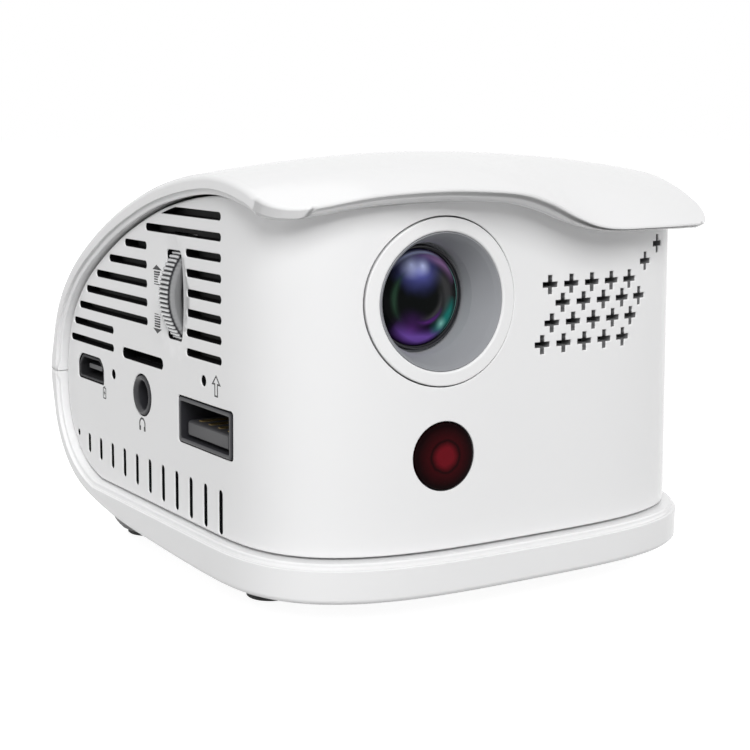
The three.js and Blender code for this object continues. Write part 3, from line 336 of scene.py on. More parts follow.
@dataclass
class Sheet:
    """A moulded sheet between an outer and an inner skin, with rounded edges and cut openings.

    `spacing` is that of the mesh's points, `clearance` the share of it kept free beside the edges, `probe` the step
    that slopes are felt with, and `deepest` the share of the thickness that an edge's rings keep within. Where a
    sheet's openings are marked, their walls take its second finish, which paints shade into them.
    """

    name: str
    outer: Mapping
    inner: Mapping
    rim: Rim = field(default_factory=Rim)
    cut_rim: Rim = field(default_factory=lambda: Rim(0.14, 0.05, steps=2))
    spacing: float = 1.1
    shade_painted: bool = False
    probe: float = 0.01
    deepest: float = 0.98
    clearance: float = 0.55

    def facing(self, places: np.ndarray) -> np.ndarray:
        """Outward unit normals of the outer skin.

        Args:
            places: Places on the sheet, one a row.

        Returns:
            One normal a place.
        """
        along = self.outer(places + [self.probe, 0]) - self.outer(places - [self.probe, 0])
        up = self.outer(places + [0, self.probe]) - self.outer(places - [0, self.probe])
        normal = unit(np.cross(along, up))
        side = np.sum(normal * (self.outer(places) - self.inner(places)), 1)
        return normal * np.where(side < 0, -1, 1)[:, None]

    def rings(self, loop: np.ndarray, grow: float, rim: Rim, radius: np.ndarray) -> list[tuple]:
        """The rings along one edge.

        Args:
            loop: Anticlockwise outline of the edge.
            grow: 1 for an opening, and -1 for the sheet's own outline.
            rim: The edge's form.
            radius: Outer rounding at each point.

        Returns:
            For each ring its places, points and normals.
        """
        move = outward(loop)
        edge = unit(self.outer(loop - grow * move * self.probe) - self.outer(loop))
        facing = self.facing(loop)
        made = []
        for inset, depth, from_inner, surface, side in rim.levels(radius):
            places = loop + grow * move * inset[:, None]
            outer, inner = self.outer(places), self.inner(places)
            thick = np.maximum(np.linalg.norm(inner - outer, axis=1), TINY)
            share = np.clip(depth / thick, 0, self.deepest)
            share = 1 - share if from_inner else share
            made.append((places, outer + (inner - outer) * share[:, None], facing * surface + edge * side))
        return made

    def build(
        self, boundary: np.ndarray, holes: Sequence[np.ndarray] = (), radius: Optional[np.ndarray] = None,
    ) -> Piece:
        """Makes the sheet.

        Args:
            boundary: The sheet's outline.
            holes: Outlines of its openings.
            radius: Outer rounding at each point of the outline, or None for the rim's own.

        Returns:
            The object.
        """
        loops = [loop if is_ccw(loop) else loop[::-1] for loop in (boundary, *holes)]
        if radius is None:
            radius = np.full(len(boundary), self.rim.outer)
        elif not is_ccw(boundary):
            radius = radius[::-1]
        edges = [self.rings(loops[0], -1, self.rim, radius)]
        edges += [self.rings(loop, 1, self.cut_rim, np.full(len(loop), self.cut_rim.outer)) for loop in loops[1:]]
        places, triangles, numbers = self.filled([ring[0][0] for ring in edges])
        normal, count = self.facing(places), len(places)
        points, normals = [self.outer(places), self.inner(places)], [normal, -normal]
        faces = [tuple(t) for t in triangles] + [tuple(count + k for k in t[::-1]) for t in triangles]
        total, shade_painted = 2 * count, []
        for ring, here in zip(edges, numbers):
            size, last = len(here), here
            first = len(faces) + size * self.cut_rim.steps
            for _, at, lit in ring[1:-1]:
                points.append(at)
                normals.append(lit)
                level = list(range(total, total + size))
                total += size
                faces += band(last, level)
                last = level
            points[1][here] = ring[-1][1]
            faces += band(last, [count + k for k in here])
            # The walls of the openings, past their outer rounding, take the second finish: painted shade
            if self.shade_painted and ring is not edges[0]:
                shade_painted += range(first, len(faces))
        used = np.unique(np.concatenate([np.array(face) for face in faces]))
        renumber = np.full(total, -1)
        renumber[used] = np.arange(len(used))
        faces = [tuple(renumber[list(face)]) for face in faces]
        return new_object(self.name, np.concatenate(points)[used], faces, np.concatenate(normals)[used], shade_painted=shade_painted)

    def filled(self, skin: Sequence[np.ndarray]) -> tuple[np.ndarray, np.ndarray, list[list[int]]]:
        """Fills the face between the edges with triangles.

        Args:
            skin: Where the sheet's edge and those of its openings meet the face.

        Returns:
            The places, the triangles on the sheet, and each edge's numbers among the places.
        """
        flat = np.concatenate([*skin, self.grid(skin)])
        constraints, numbers, first = [], [], 0
        for loop in skin:
            here = list(range(first, first + len(loop)))
            constraints += zip(here, here[1:] + here[:1])
            numbers.append(here)
            first += len(loop)
        found = delaunay_2d_cdt([Vector(p) for p in flat.tolist()], constraints, [], 0, MERGED)
        places, triangles = np.array([tuple(p) for p in found[0]]), np.array(found[2])
        where = {old: new for new, olds in enumerate(found[3]) for old in olds}
        triangles = triangles[between(places[triangles].mean(axis=1), skin)]
        return places, triangles, [[where[k] for k in here] for here in numbers]

    def grid(self, loops: Sequence[np.ndarray]) -> np.ndarray:
        """Places between the outlines at an even spacing.

        Args:
            loops: The sheet's outline and those of its openings.

        Returns:
            The places, one a row.
        """
        low, high = loops[0].min(0), loops[0].max(0)
        u, v = np.meshgrid(*(np.arange(low[k], high[k], self.spacing) for k in (0, 1)))
        places = np.stack([u.ravel(), v.ravel()], 1)
        places[:, 0] += np.where(np.round((places[:, 1] - low[1]) / self.spacing) % 2 > 0, self.spacing / 2, 0)
        places = places[between(places, loops)]
        tree = kdtree.KDTree(sum(map(len, loops)))
        for k, (u_at, v_at) in enumerate(np.concatenate(list(loops))):
            tree.insert((u_at, v_at, 0), k)
        tree.balance()
        apart = [tree.find((a, b, 0))[2] > self.spacing * self.clearance for a, b in places]
        return places[np.array(apart, bool)]


def loft(name: str, sections: Sequence[np.ndarray], closed: bool = False, sharp: float = 32) -> Piece:
    """Joins rings of equal length into a closed mesh.

    Args:
        name: Name of the piece.
        sections: Rings of points; one that shrinks to a point becomes a pole.
        closed: Whether the last ring joins the first.
        sharp: Angle in degrees past which an edge stays sharp.

    Returns:
        The object.
    """
    size = len(sections[0])
    points: list[np.ndarray] = []
    rings: list[list[int]] = []
    for section in sections:
        start = len(points)
        if np.ptp(section, axis=0).max() < TINY:
            points.append(section[0])
            rings.append([start] * size)
        else:
            points += list(section)
            rings.append(list(range(start, start + size)))
    pairs = list(zip(rings, rings[1:])) + ([(rings[-1], rings[0])] if closed else [])
    quads = [list(dict.fromkeys(corners)) for pair in pairs for corners in band(*pair)]
    faces = [face for face in quads if len(face) > 2]
    if not closed:
        faces += [ring for ring in (rings[0][::-1], rings[-1]) if len(set(ring)) > 2]
    return new_object(name, np.array(points), faces, sharp=sharp)


def soften(profile: Sequence[Pair], radius: float, steps: int = 3) -> list[Pair]:
    """Rounds the inner corners of an open profile.

    Args:
        profile: Points of the profile.
        radius: Rounding, cut back where an edge is short.
        steps: Steps in each corner.

    Returns:
        The rounded profile.
    """
    points = [np.array(p, float) for p in profile]
    made = [tuple(points[0])]
    for before, at, after in zip(points, points[1:], points[2:]):
        back, on = before - at, after - at
        reach = min(radius, np.linalg.norm(back) * EDGE_SHARE, np.linalg.norm(on) * EDGE_SHARE)
        start, end = at + unit(back) * reach, at + unit(on) * reach
        for k in range(steps + 1):
            t = k / steps
            made.append(tuple(start * (1 - t) ** 2 + at * 2 * t * (1 - t) + end * t * t))
    return made + [tuple(points[-1])]


def placed(loop: np.ndarray, along: float, way: Way) -> np.ndarray:
    """Stands a plane outline at a place along an axis.

    Args:
        loop: Outline as (x, z) for FORWARD, (x, y) for UP and (y, z) for INBOARD and OUTBOARD.
        along: The y, z or x at which it stands.
        way: The direction in which the piece grows.

    Returns:
        Points of the ring.
    """
    level = np.full(len(loop), along)
    if way is Way.FORWARD:
        return np.stack([loop[:, 0], level, loop[:, 1]], 1)
    if way is Way.UP:
        return np.stack([loop[:, 0], loop[:, 1], level], 1)
    return np.stack([level, loop[:, 0], loop[:, 1]], 1)


def turned(
    name: str, centre: Pair, profile: Sequence[Pair], way: Way,
    count: int = 64, closed: bool = False,
) -> Piece:
    """Turns a profile about an axis.

    Args:
        name: Name of the piece.
        centre: Where the axis passes, in the plane across it.
        profile: Pairs of radius and place along the axis.
        way: The axis.
        count: Points in each ring.
        closed: Whether the profile joins up, as on a ring.

    Returns:
        The object.
    """
    rings = [placed(circle(*centre, max(radius, 0), count), along, way) for radius, along in profile]
    return loft(name, rings, closed)


# The casing's form


@dataclass(frozen=True)
class Casing:
    """The form that the mouldings share, in millimetres.

    The side outline runs through `side_shares`, shares of the half length and of the crest's height, from the brim
    over the top to the underside; `nose_point` is the one at the parting line. `wave_shares` gives the brim's edge,
    as shares of the half width and of the wave's height.
    """

    half_length: float = 36.7
    half_width: float = 32.4
    panel_half: float = 31.0
    crest: float = 50.7
    crown: float = 2.6
    nose_bow: float = 2.5
    brim_bow: float = 8.0
    brim_wave: float = 3.0
    overhang: float = 4.3
    lip_bevel: float = 1.3
    band: float = 2.35
    deck: float = 8.3
    wall: float = 1.8
    seam: float = 0.3
    wall_bow: float = 21.7
    lean: float = 1.1
    base_proud: float = 1.6
    roundness: float = 3.3
    brim_start_share: float = -0.2
    crown_start_share: float = 0.47
    crown_full_share: float = 0.87
    nose_point: int = 8
    span_steps: int = 14
    straight: int = 60
    side_shares: tuple[Pair, ...] = (
        (-0.782, 0.939), (-0.613, 0.984), (-0.365, 1), (-0.035, 0.966), (0.245, 0.905),
        (0.493, 0.826), (0.722, 0.722), (0.872, 0.596), (0.932, 0.432), (0.888, 0.268),
        (0.722, 0.152), (0.411, 0.099), (0, 0.08), (-0.436, 0.072), (-1.1, 0.072),
    )
    wave_shares: tuple[Pair, ...] = (
        (-1, -0.2), (-0.85, 0.1), (-0.67, 0.47), (-0.48, 0.63), (-0.34, 0.63), (-0.15, 0.47), (-0.03, 0.1),
        (0.09, -0.45), (0.2, -0.83), (0.31, -0.98), (0.5, -1.02), (0.75, -1.06), (1, -1.1),
    )

    def back(self, share: float) -> float:
        """A place along the body as a share of its half length."""
        return share * self.half_length

    def up(self, share: float) -> float:
        """A height as a share of the crest's height."""
        return share * self.crest

    @property
    def wall_front(self) -> float:
        """The foremost place of the front wall at the deck."""
        return self.overhang - self.half_length

    @property
    def wall_corner(self) -> float:
        """Where the side panels' straight run ends."""
        return self.wall_front + self.wall_bow

    def outline(self) -> np.ndarray:
        """The side outline: run along it, y, z and the inward direction, one point a row."""
        points = np.array(self.side_shares) * [self.half_length, self.crest]
        last = len(points) - 1
        rows = []
        for k in range(last):
            p0, p1, p2, p3 = (points[min(max(i, 0), last)] for i in (k - 1, k, k + 1, k + 2))
            v0, v1 = (p2 - p0) / 2, (p3 - p1) / 2
            for step in range(self.span_steps + (k == last - 1)):
                t = step / self.span_steps
                place = (2 * p1 - 2 * p2 + v0 + v1) * t ** 3 + (3 * p2 - 3 * p1 - 2 * v0 - v1) * t ** 2 + v0 * t + p1
                slope = (2 * p1 - 2 * p2 + v0 + v1) * 3 * t ** 2 + (3 * p2 - 3 * p1 - 2 * v0 - v1) * 2 * t + v0
                rows.append((*place, *unit(np.array([slope[1], -slope[0]]))))
        table = np.array(rows)
        run = np.concatenate([[0], np.cumsum(np.linalg.norm(np.diff(table[:, :2], axis=0), axis=1))])
        return np.column_stack([run, table])

    def wave(self, x: np.ndarray) -> np.ndarray:
        """Height of the brim's edge over its port corner.

        Args:
            x: Places across the casing.

        Returns:
            One height a place.
        """
        shares = np.array(self.wave_shares)
        at, high = shares[:, 0], shares[:, 1]
        slope = np.empty(len(at))
        slope[1:-1] = (high[2:] - high[:-2]) / (at[2:] - at[:-2])
        slope[0], slope[-1] = (high[1] - high[0]) / (at[1] - at[0]), (high[-1] - high[-2]) / (at[-1] - at[-2])
        share = np.clip(x / self.half_width, -1, 1)
        k = np.clip(np.searchsorted(at, share, "left") - 1, 0, len(at) - 2)
        run = at[k + 1] - at[k]
        t = (share - at[k]) / run
        rise = high[k] * (2 * t ** 3 - 3 * t ** 2 + 1) + high[k + 1] * (3 * t ** 2 - 2 * t ** 3)
        return self.brim_wave * (rise + run * (slope[k] * (t ** 3 - 2 * t ** 2 + t) + slope[k + 1] * (t ** 3 - t ** 2)))

    def shaped(self, points: np.ndarray) -> np.ndarray:
        """Crowns the casing, bows its nose and brim, and waves the brim.

        Args:
            points: Points of the straight form.

        Returns:
            The points moved.
        """
        x, y, z = points.T
        lip = self.back(self.side_shares[0][0])
        nose = self.back(self.side_shares[self.nose_point][0])
        start = self.back(self.brim_start_share)
        middle = 1 - np.minimum((x / self.half_width) ** 2, 1)
        t = np.clip((z - self.up(self.crown_start_share))
                    / (self.up(self.crown_full_share) - self.up(self.crown_start_share)), 0, 1)
        high = t * t * (3 - 2 * t)
        fore = np.clip((start - y) / (start - lip), 0, 1)
        aft = np.maximum(y / nose, 0) ** 2
        brim = fore * fore
        return np.stack([
            x,
            y - high * fore * self.brim_bow * middle + aft * self.nose_bow * middle,
            z + high * ((1 - brim) * self.crown * middle + brim * self.wave(x)),
        ], 1)

    def leaned(self, z: np.ndarray) -> np.ndarray:
        """How far the wall leans back at a height."""
        return self.lean * (np.asarray(z) - self.deck) / (self.crest - self.deck)

    def front(self, x: np.ndarray, z: np.ndarray) -> np.ndarray:
        """The y of the bowed front wall.

        Args:
            x: Places across.
            z: Heights.

        Returns:
            One y a place.
        """
        share = np.clip(np.abs(x) / self.panel_half, 0, 1)
        bow = self.wall_bow * (1 - share ** self.roundness) ** (1 / self.roundness)
        return self.wall_corner - bow + self.leaned(z)

    def plan(self, half: float, front: float, rear: float, steps: int = 600) -> np.ndarray:
        """The plan of the wall or base from the rear of the port side round the front.

        Args:
            half: Half width.
            front: Foremost y.
            rear: Rear y of both sides.
            steps: Steps round the front.

        Returns:
            Points (x, y).
        """
        turn = np.linspace(0, math.pi, steps + 1)
        across = -np.cos(turn)
        x = half * np.sign(across) * np.abs(across) ** (2 / self.roundness)
        y = self.wall_corner - (self.wall_corner - front) * np.clip(np.sin(turn), 0, 1) ** (2 / self.roundness)
        side = np.linspace(rear, self.wall_corner, self.straight)[:-1]
        port = np.stack([np.full(len(side), -half), side], 1)
        return np.concatenate([port, np.stack([x, y], 1), port[::-1] * [-1, 1]])

    def inner_edge(self, gap: float, x: float) -> np.ndarray:
        """The covers' inner outline at one x, from the brim over the top and round the nose.

        Args:
            gap: Extra distance inside the covers.
            x: Place across.

        Returns:
            Points (y, z).
        """
        table = self.outline()
        depth = self.band + gap
        y = table[:, 1] + depth * table[:, 3]
        z = np.maximum(table[:, 2] + depth * table[:, 4], self.deck + gap)
        return self.shaped(np.stack([np.full(len(y), x), y, z], 1))[:, 1:]


CASING = Casing()


def ride(piece: Piece, body: str, slot_name: str, *nodes: str) -> Piece:
    """Fixes a piece to its body and says what it stands for.

    Args:
        piece: The piece.
        body: Body that carries it.
        slot_name: The record's material slot.
        *nodes: Nodes that it replaces.

    Returns:
        The piece.
    """
    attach(piece, body)
    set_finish(piece, slot_name)
    if nodes:
        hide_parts(*nodes)
    log.info("%s on %s", piece.name, body)
    return piece


class Cover:
    """Skins of the casing's outer band, by the run along the outline and the place across."""

    bevel_reach = 4

    def __init__(self, casing: Casing, floor: float, bevel: float) -> None:
        """Keeps the outline's table.

        Args:
            casing: The casing's form.
            floor: Lowest height of the inner skin.
            bevel: How far the inner skin stays behind the lip.
        """
        self.casing = casing
        self.table = casing.outline()
        self.floor = floor
        self.bevel = bevel

    def at(self, run: np.ndarray) -> list[np.ndarray]:
        """The outline's y, z and inward direction at places along it."""
        return [np.interp(run, self.table[:, 0], self.table[:, k]) for k in (1, 2, 3, 4)]

    def outer(self, places: np.ndarray) -> np.ndarray:
        """The outer skin."""
        y, z, _, _ = self.at(places[:, 0])
        return self.casing.shaped(np.stack([places[:, 1], y, z], 1))

    def inner(self, places: np.ndarray) -> np.ndarray:
        """The inner skin, which stays behind the lip and over the floor.

        Args:
            places: Rows of run and place across.

        Returns:
            One point a row.
        """
        run = places[:, 0]
        back = self.bevel * np.clip(1 - run / (self.bevel_reach * self.bevel), 0, 1) if self.bevel else 0
        y, z, in_y, in_z = self.at(run + back)
        y, z = y + self.casing.band * in_y, np.maximum(z + self.casing.band * in_z, self.floor)
        return self.casing.shaped(np.stack([places[:, 1], y, z], 1))

    def run_of_nose(self) -> float:
        """The run to the nose's parting line."""
        return float(self.table[self.casing.nose_point * self.casing.span_steps, 0])

    def run_under(self, y: np.ndarray) -> np.ndarray:
        """The run to places on the underside."""
        low = self.table[self.casing.nose_point * self.casing.span_steps:]
        return np.interp(-np.asarray(y), -low[:, 1], low[:, 0])


@dataclass
class CoverParts:
    """The crowned top cover and the tray, with the band that frames both sides.

    The edge's rounding falls to `parting_edge` at the parting line, over a `taper`, and `rebate` is the width and
    depth of the step inside it.
    """

    casing: Casing = CASING
    edge: float = 0.7
    parting_edge: float = 0.12
    lip_edge: float = 0.45
    lip_corner: float = 4.0
    half_seam: float = 0.06
    taper: float = 5.0
    foot_hole: float = 5.55
    screw_hole: float = 1.85
    step: float = 0.55
    thin_share: float = 0.7
    inner_edge: float = 0.2
    tray_inner_edge: float = 0.25
    rebate: Pair = (0.45, 0.75)

    def top(self) -> Piece:
        """Makes the top cover."""
        cover = Cover(self.casing, 0, self.casing.lip_bevel)
        half, end = self.casing.half_width, cover.run_of_nose() - self.half_seam
        round_at = self.lip_corner
        port = arc(round_at, -half + round_at, round_at, 180, 270, steps=12)
        corners = [*port, (end, -half), (end, half), *((run, -x) for run, x in port[::-1])]
        loop = refined(np.array(corners), self.step)
        radius = self.rounding(end - loop[:, 0])
        radius = np.where(loop[:, 0] < round_at, np.minimum(radius, self.lip_edge), radius)
        rim = Rim(self.edge, self.inner_edge, *self.rebate)
        sheet = Sheet("top_cover_moulding", cover.outer, cover.inner, rim, spacing=1.0)
        return ride(sheet.build(loop, radius=radius), HOUSING, "white_gloss", "top_cover")

    def rounding(self, away: np.ndarray) -> np.ndarray:
        """Edge rounding at distances from the parting line, finer towards it."""
        near = np.clip(away / self.taper, 0, 1)
        return self.parting_edge + (self.edge - self.parting_edge) * near * near * (3 - 2 * near)

    def bottom(self) -> Piece:
        """Makes the tray, with openings for the feet and the screws."""
        casing = self.casing
        cover = Cover(casing, casing.deck, 0)
        half, start = casing.half_width, cover.run_of_nose() + self.half_seam
        plan = casing.plan(half, casing.wall_front - casing.base_proud, casing.half_length)
        front = plan[plan[:, 1] <= casing.wall_corner]
        edge = np.column_stack([cover.run_under(front[:, 1]), front[:, 0]])
        loop = refined(np.array([(start, -half), *edge, (start, half)]), self.step)
        loop = thinned(loop, self.step * self.thin_share)
        radius = self.rounding(loop[:, 0] - start)
        holes = []
        for places, size, count in ((FEET.places(), self.foot_hole, 40), (SCREWS.places(), self.screw_hole, 20)):
            for x, y in places.values():
                ring = circle(x, y, size, count)
                holes.append(np.column_stack([cover.run_under(ring[:, 1]), ring[:, 0]]))
        rim = Rim(self.edge, self.tray_inner_edge, *self.rebate)
        sheet = Sheet("tray_moulding", cover.outer, cover.inner, rim, Rim(outer=0.2, inner=0.1, steps=2), spacing=1.2)
        return ride(sheet.build(loop, holes, radius), HOUSING, "white_gloss", "bottom_cover")


def thinned(loop: np.ndarray, least: float) -> np.ndarray:
    """The outline without points that crowd closer than a distance, its corners kept.

    Args:
        loop: Closed outline.
        least: Least distance between points.

    Returns:
        The thinner outline.
    """
    kept = [loop[0]]
    for k in range(1, len(loop)):
        before, after = loop[k] - loop[k - 1], loop[(k + 1) % len(loop)] - loop[k]
        corner = float(unit(before) @ unit(after)) < CORNER_COSINE
        if corner or np.linalg.norm(loop[k] - kept[-1]) >= least:
            kept.append(loop[k])
    return np.array(kept)


@dataclass
class WallMoulding:
    """The U-shaped wall: both side panels and the bowed front, with every opening cut through it.

    Shares are of the casing's half length or of its crest's height. Each of `plus_rows` is a first place, a height
    and a count, in pitches from the speaker's middle.
    """

    casing: Casing = CASING
    vent_height: float = 0.93
    vent_pitch: float = 2.37
    vent_margin: float = 0.6
    grille_pitch: float = 3.844
    grille_count: int = 11
    grille_width: float = 0.95
    grille_edge: float = 0.55
    grille_rise: float = 2.7
    grille_power: float = 1.5
    dot_radius: float = 0.45
    plus_span: float = 2.2
    plus_arm: float = 0.62
    plus_pitch: float = 3.251
    plus_row: float = 2.32
    speaker_x: float = 10.4
    dish_depth: float = 0.55
    dish_width: float = 8.0
    dish_height: float = 15.0
    dish_power: float = 0.8
    fit: float = 0.15
    button_fit: float = 0.25
    step: float = 0.7
    hole_step: float = 0.9
    plus_step: float = 0.5
    cut_step: float = 0.25
    top_step: float = 0.5
    top_least: float = 0.2
    top_lift: float = 0.3
    overrun: float = 6.0
    walk: float = 0.05
    thin_share: float = 0.6
    corner_clear: float = 1.5
    front_points: int = 260
    top_row_share: float = 0.906
    fore_share: float = -0.392
    fore_end_share: float = -0.148
    rear_share: float = 0.1436
    low_share: float = 0.43
    second_end_share: float = 0.203
    grille_top_share: float = 0.2793
    grille_back_share: float = 0.6676
    dot_share: float = 0.7665
    speaker_share: float = 0.683
    plus_rows: tuple[tuple[float, float, int], ...] = (
        (-2.24, 1.5, 5), (-1.64, 0.56, 5), (-2.14, -0.44, 5), (-2.58, -1.5, 5))
    lone_pluses: tuple[Pair, ...] = ((2.74, 2.35), (3.62, 3.2))

    def __post_init__(self) -> None:
        """Works out the wall's plan and its run."""
        casing = self.casing
        self.path = casing.plan(casing.panel_half, casing.wall_front, casing.half_length)
        step = np.linalg.norm(np.diff(self.path, axis=0), axis=1)
        self.run = np.concatenate([[0], np.cumsum(step)])
        along = unit(np.gradient(self.path, self.run, axis=0))
        self.out = np.stack([along[:, 1], -along[:, 0]], 1)
        self.middle = self.run[-1] / 2

    def on_path(self, run: np.ndarray, table: np.ndarray) -> np.ndarray:
        """A table's rows at places along the wall's plan."""
        return np.stack([np.interp(run, self.run, table[:, k]) for k in (0, 1)], 1)

    def dish(self, points: np.ndarray) -> np.ndarray:
        """How deep the thumb's dish is at points of the port panel."""
        y, z = WHEEL.y, WHEEL.z
        far = ((points[:, 1] - y) / (self.dish_width / 2)) ** 2 + ((points[:, 2] - z) / (self.dish_height / 2)) ** 2
        return np.where(points[:, 0] < 0, self.dish_depth * np.clip(1 - far, 0, 1) ** self.dish_power, 0)

    def skin(self, places: np.ndarray, depth: float, dished: float = 0.0) -> np.ndarray:
        """Points of the wall at a depth under its outer face.

        Args:
            places: Rows of run and height.
            depth: Depth under the face.
            dished: Share of the thumb's dish to sink.

        Returns:
            One point a row.
        """
        at, out = self.on_path(places[:, 0], self.path), unit(self.on_path(places[:, 0], self.out))
        points = np.column_stack([at - out * depth, places[:, 1]])
        points[:, 1] += self.casing.leaned(places[:, 1])
        if dished:
            points[:, :2] -= out * (self.dish(points) * dished)[:, None]
        return points

    def outer(self, places: np.ndarray) -> np.ndarray:
        """The outer face, with the thumb's dish."""
        return self.skin(places, 0, 1)

    def inner(self, places: np.ndarray) -> np.ndarray:
        """The inner face."""
        return self.skin(places, self.casing.wall)

    def side(self, loop: np.ndarray, side: Side) -> np.ndarray:
        """An outline drawn as (y, z) on a side panel, as run and height.

        Args:
            loop: The outline.
            side: The panel.

        Returns:
            The outline on the wall.
        """
        half = len(self.run) // 2
        y = loop[:, 0] - self.casing.leaned(loop[:, 1])
        run = np.interp(-y, -self.path[:half, 1], self.run[:half])
        return np.column_stack([run if side is Side.PORT else self.run[-1] - run, loop[:, 1]])

    def face(self, loop: np.ndarray) -> np.ndarray:
        """An outline drawn as (x, z) on the front, as run and height."""
        keep = slice(self.casing.straight, -self.casing.straight)
        return np.column_stack([np.interp(loop[:, 0], self.path[keep, 0], self.run[keep]), loop[:, 1]])

    def boundary(self) -> np.ndarray:
        """The wall's outline: the deck, round the nose, and up to the brim's underside."""
        casing = self.casing
        edge = casing.inner_edge(casing.seam, -casing.panel_half)
        nose = int(np.argmax(edge[:, 0]))
        low = nose + int(np.argmax(edge[nose:, 1] <= casing.deck + casing.seam + TINY))
        panel = edge[:low + 1][::-1]
        port = self.side(panel[panel[:, 0] > casing.wall_corner + self.corner_clear], Side.PORT)
        port[:, 1] = np.maximum(port[:, 1], casing.deck + casing.seam)
        runs = np.linspace(port[-1, 0] + self.step, self.run[-1] - port[-1, 0] - self.step, self.front_points)
        at = self.on_path(runs, self.path)
        tops = []
        for x, y in at:
            under = casing.inner_edge(casing.seam, x)
            under = under[:casing.nose_point * casing.span_steps]
            height = casing.crest
            for _ in range(3):
                height = np.interp(y + casing.leaned(height), under[:, 0], under[:, 1])
            tops.append(height)
        front = np.column_stack([runs, tops])
        starboard = port[::-1] * [-1, 1] + [self.run[-1], 0]
        return thinned(refined(np.concatenate([port, front, starboard]), self.step), self.step * self.thin_share)

    def edge_at(self, z: np.ndarray) -> np.ndarray:
        """Where the side panel's rear edge lies at heights over the nose."""
        edge = self.casing.inner_edge(self.casing.seam, -self.casing.panel_half)
        nose = int(np.argmax(edge[:, 0]))
        crest = int(np.argmax(edge[:, 1]))
        return np.interp(-np.asarray(z), -edge[crest:nose, 1], edge[crest:nose, 0])

    def vents(self) -> list[np.ndarray]:
        """Outlines (y, z) of one panel's slots and of the short upright ones along its foot."""
        casing, back, up = self.casing, self.casing.back, self.casing.up
        row = [up(self.top_row_share) - k * self.vent_pitch for k in range(9)]
        fore, fore_end, rear, low = map(back, (self.fore_share, self.fore_end_share, self.rear_share, self.low_share))

        def cut(y0: float, y1: float, z: float) -> np.ndarray:
            """One slot from y0 to y1."""
            return slot((y0 + y1) / 2, z, y1 - y0, self.vent_height)

        border = casing.inner_edge(casing.seam, -casing.panel_half)
        reach = self.vent_height / 2 + self.vent_margin

        def end(z: float) -> float:
            """Where a slot ends, its round end clear of the panel's edge."""
            middle = float(self.edge_at(z))
            while np.min(np.hypot(border[:, 0] - middle, border[:, 1] - z)) < reach:
                middle -= self.walk
            return middle + self.vent_height / 2

        top = refined(cut(fore, end(row[0]) + self.overrun, row[0]), self.cut_step)
        limit = self.edge_at(top[:, 1] + self.vent_height * self.top_lift) - self.vent_margin
        top = refined(np.column_stack([np.minimum(top[:, 0], limit), top[:, 1]]), self.top_step)
        found = [thinned(top, self.top_least), cut(fore, min(back(self.second_end_share), end(row[1])), row[1])]
        found += [cut(fore, fore_end, row[k]) for k in range(2, 8)]
        found += [cut(rear, end(row[k]), row[k]) for k in range(2, 7)]
        found += [cut(low, end(row[k]), row[k]) for k in (7, 8)]
        grille_top = up(self.grille_top_share)
        for k in range(self.grille_count):
            share = 1 - k / (self.grille_count - 1)
            foot = casing.deck + self.grille_edge + self.grille_rise * share ** self.grille_power
            found.append(slot(back(self.grille_back_share) - k * self.grille_pitch, (grille_top + foot) / 2,
                              self.grille_width, grille_top - foot))
        found.append(circle(back(self.dot_share), grille_top - self.dot_radius, self.dot_radius, count=16))
        return found

    def pluses(self) -> list[np.ndarray]:
        """Outlines (x, z) of the speaker's plus-shaped holes."""
        shape = plus(self.plus_span / 2, self.plus_arm / 2)
        spots = [(first + k, high) for first, high, count in self.plus_rows for k in range(count)]
        z = self.casing.up(self.speaker_share)
        return [shape + [self.speaker_x + u * self.plus_pitch, z + v * self.plus_row]
                for u, v in (*spots, *self.lone_pluses)]

    def port_openings(self) -> list[np.ndarray]:
        """Outlines (y, z) of the wheel's slot and of the sockets' mouths."""
        fit = 2 * self.fit
        return [
            rounded_box(WHEEL.y, WHEEL.z, WHEEL.slot_width, WHEEL.slot_height, radius=0.6),
            rounded_box(SOCKETS.usb_y, SOCKETS.usb_z, SOCKETS.usb_width + fit, SOCKETS.usb_height + fit,
                        SOCKETS.usb_corner),
            SOCKETS.micro_outline(SOCKETS.micro_skin + self.fit),
            slot(SOCKETS.card_y, SOCKETS.card_z, SOCKETS.card_width, SOCKETS.card_slot),
            circle(SOCKETS.jack_y, SOCKETS.jack_z, SOCKETS.jack_collar + self.fit, count=40),
            circle(SOCKETS.reset_y, SOCKETS.reset_z, SOCKETS.pin_radius, count=20),
            circle(SOCKETS.upgrade_y, SOCKETS.upgrade_z, SOCKETS.pin_radius, count=20),
        ]

    def build(self) -> Piece:
        """Makes the wall."""
        holes = []
        for side in Side:
            holes += [self.side(refined(loop, self.hole_step), side) for loop in self.vents()]
        holes += [self.side(refined(loop, self.hole_step), Side.PORT) for loop in self.port_openings()]
        button = circle(POWER.y, POWER.z, POWER.radius + self.button_fit, count=40)
        holes.append(self.side(button, Side.STARBOARD))
        holes += [self.face(refined(loop, self.plus_step)) for loop in self.pluses()]
        holes.append(self.face(circle(LENS.x, LENS.z, LENS.ring_radius + self.fit, count=96)))
        holes.append(self.face(circle(LENS.x, WINDOW.z, WINDOW.radius + self.fit, count=56)))
        rim = Rim(outer=0.3, inner=0.1)
        # The walls of its openings take painted shade as their second finish
        sheet = Sheet("wall_moulding", self.outer, self.inner, rim, spacing=1.05, shade_painted=True)
        return ride(sheet.build(self.boundary(), holes), HOUSING, "white_gloss", "main_shell")


def on_front(loop: np.ndarray, depth: object) -> np.ndarray:
    """Points (x, z) laid on the bowed front at a depth."""
    x, z = loop.T
    return np.stack([x, CASING.front(x, z) + depth, z], 1)


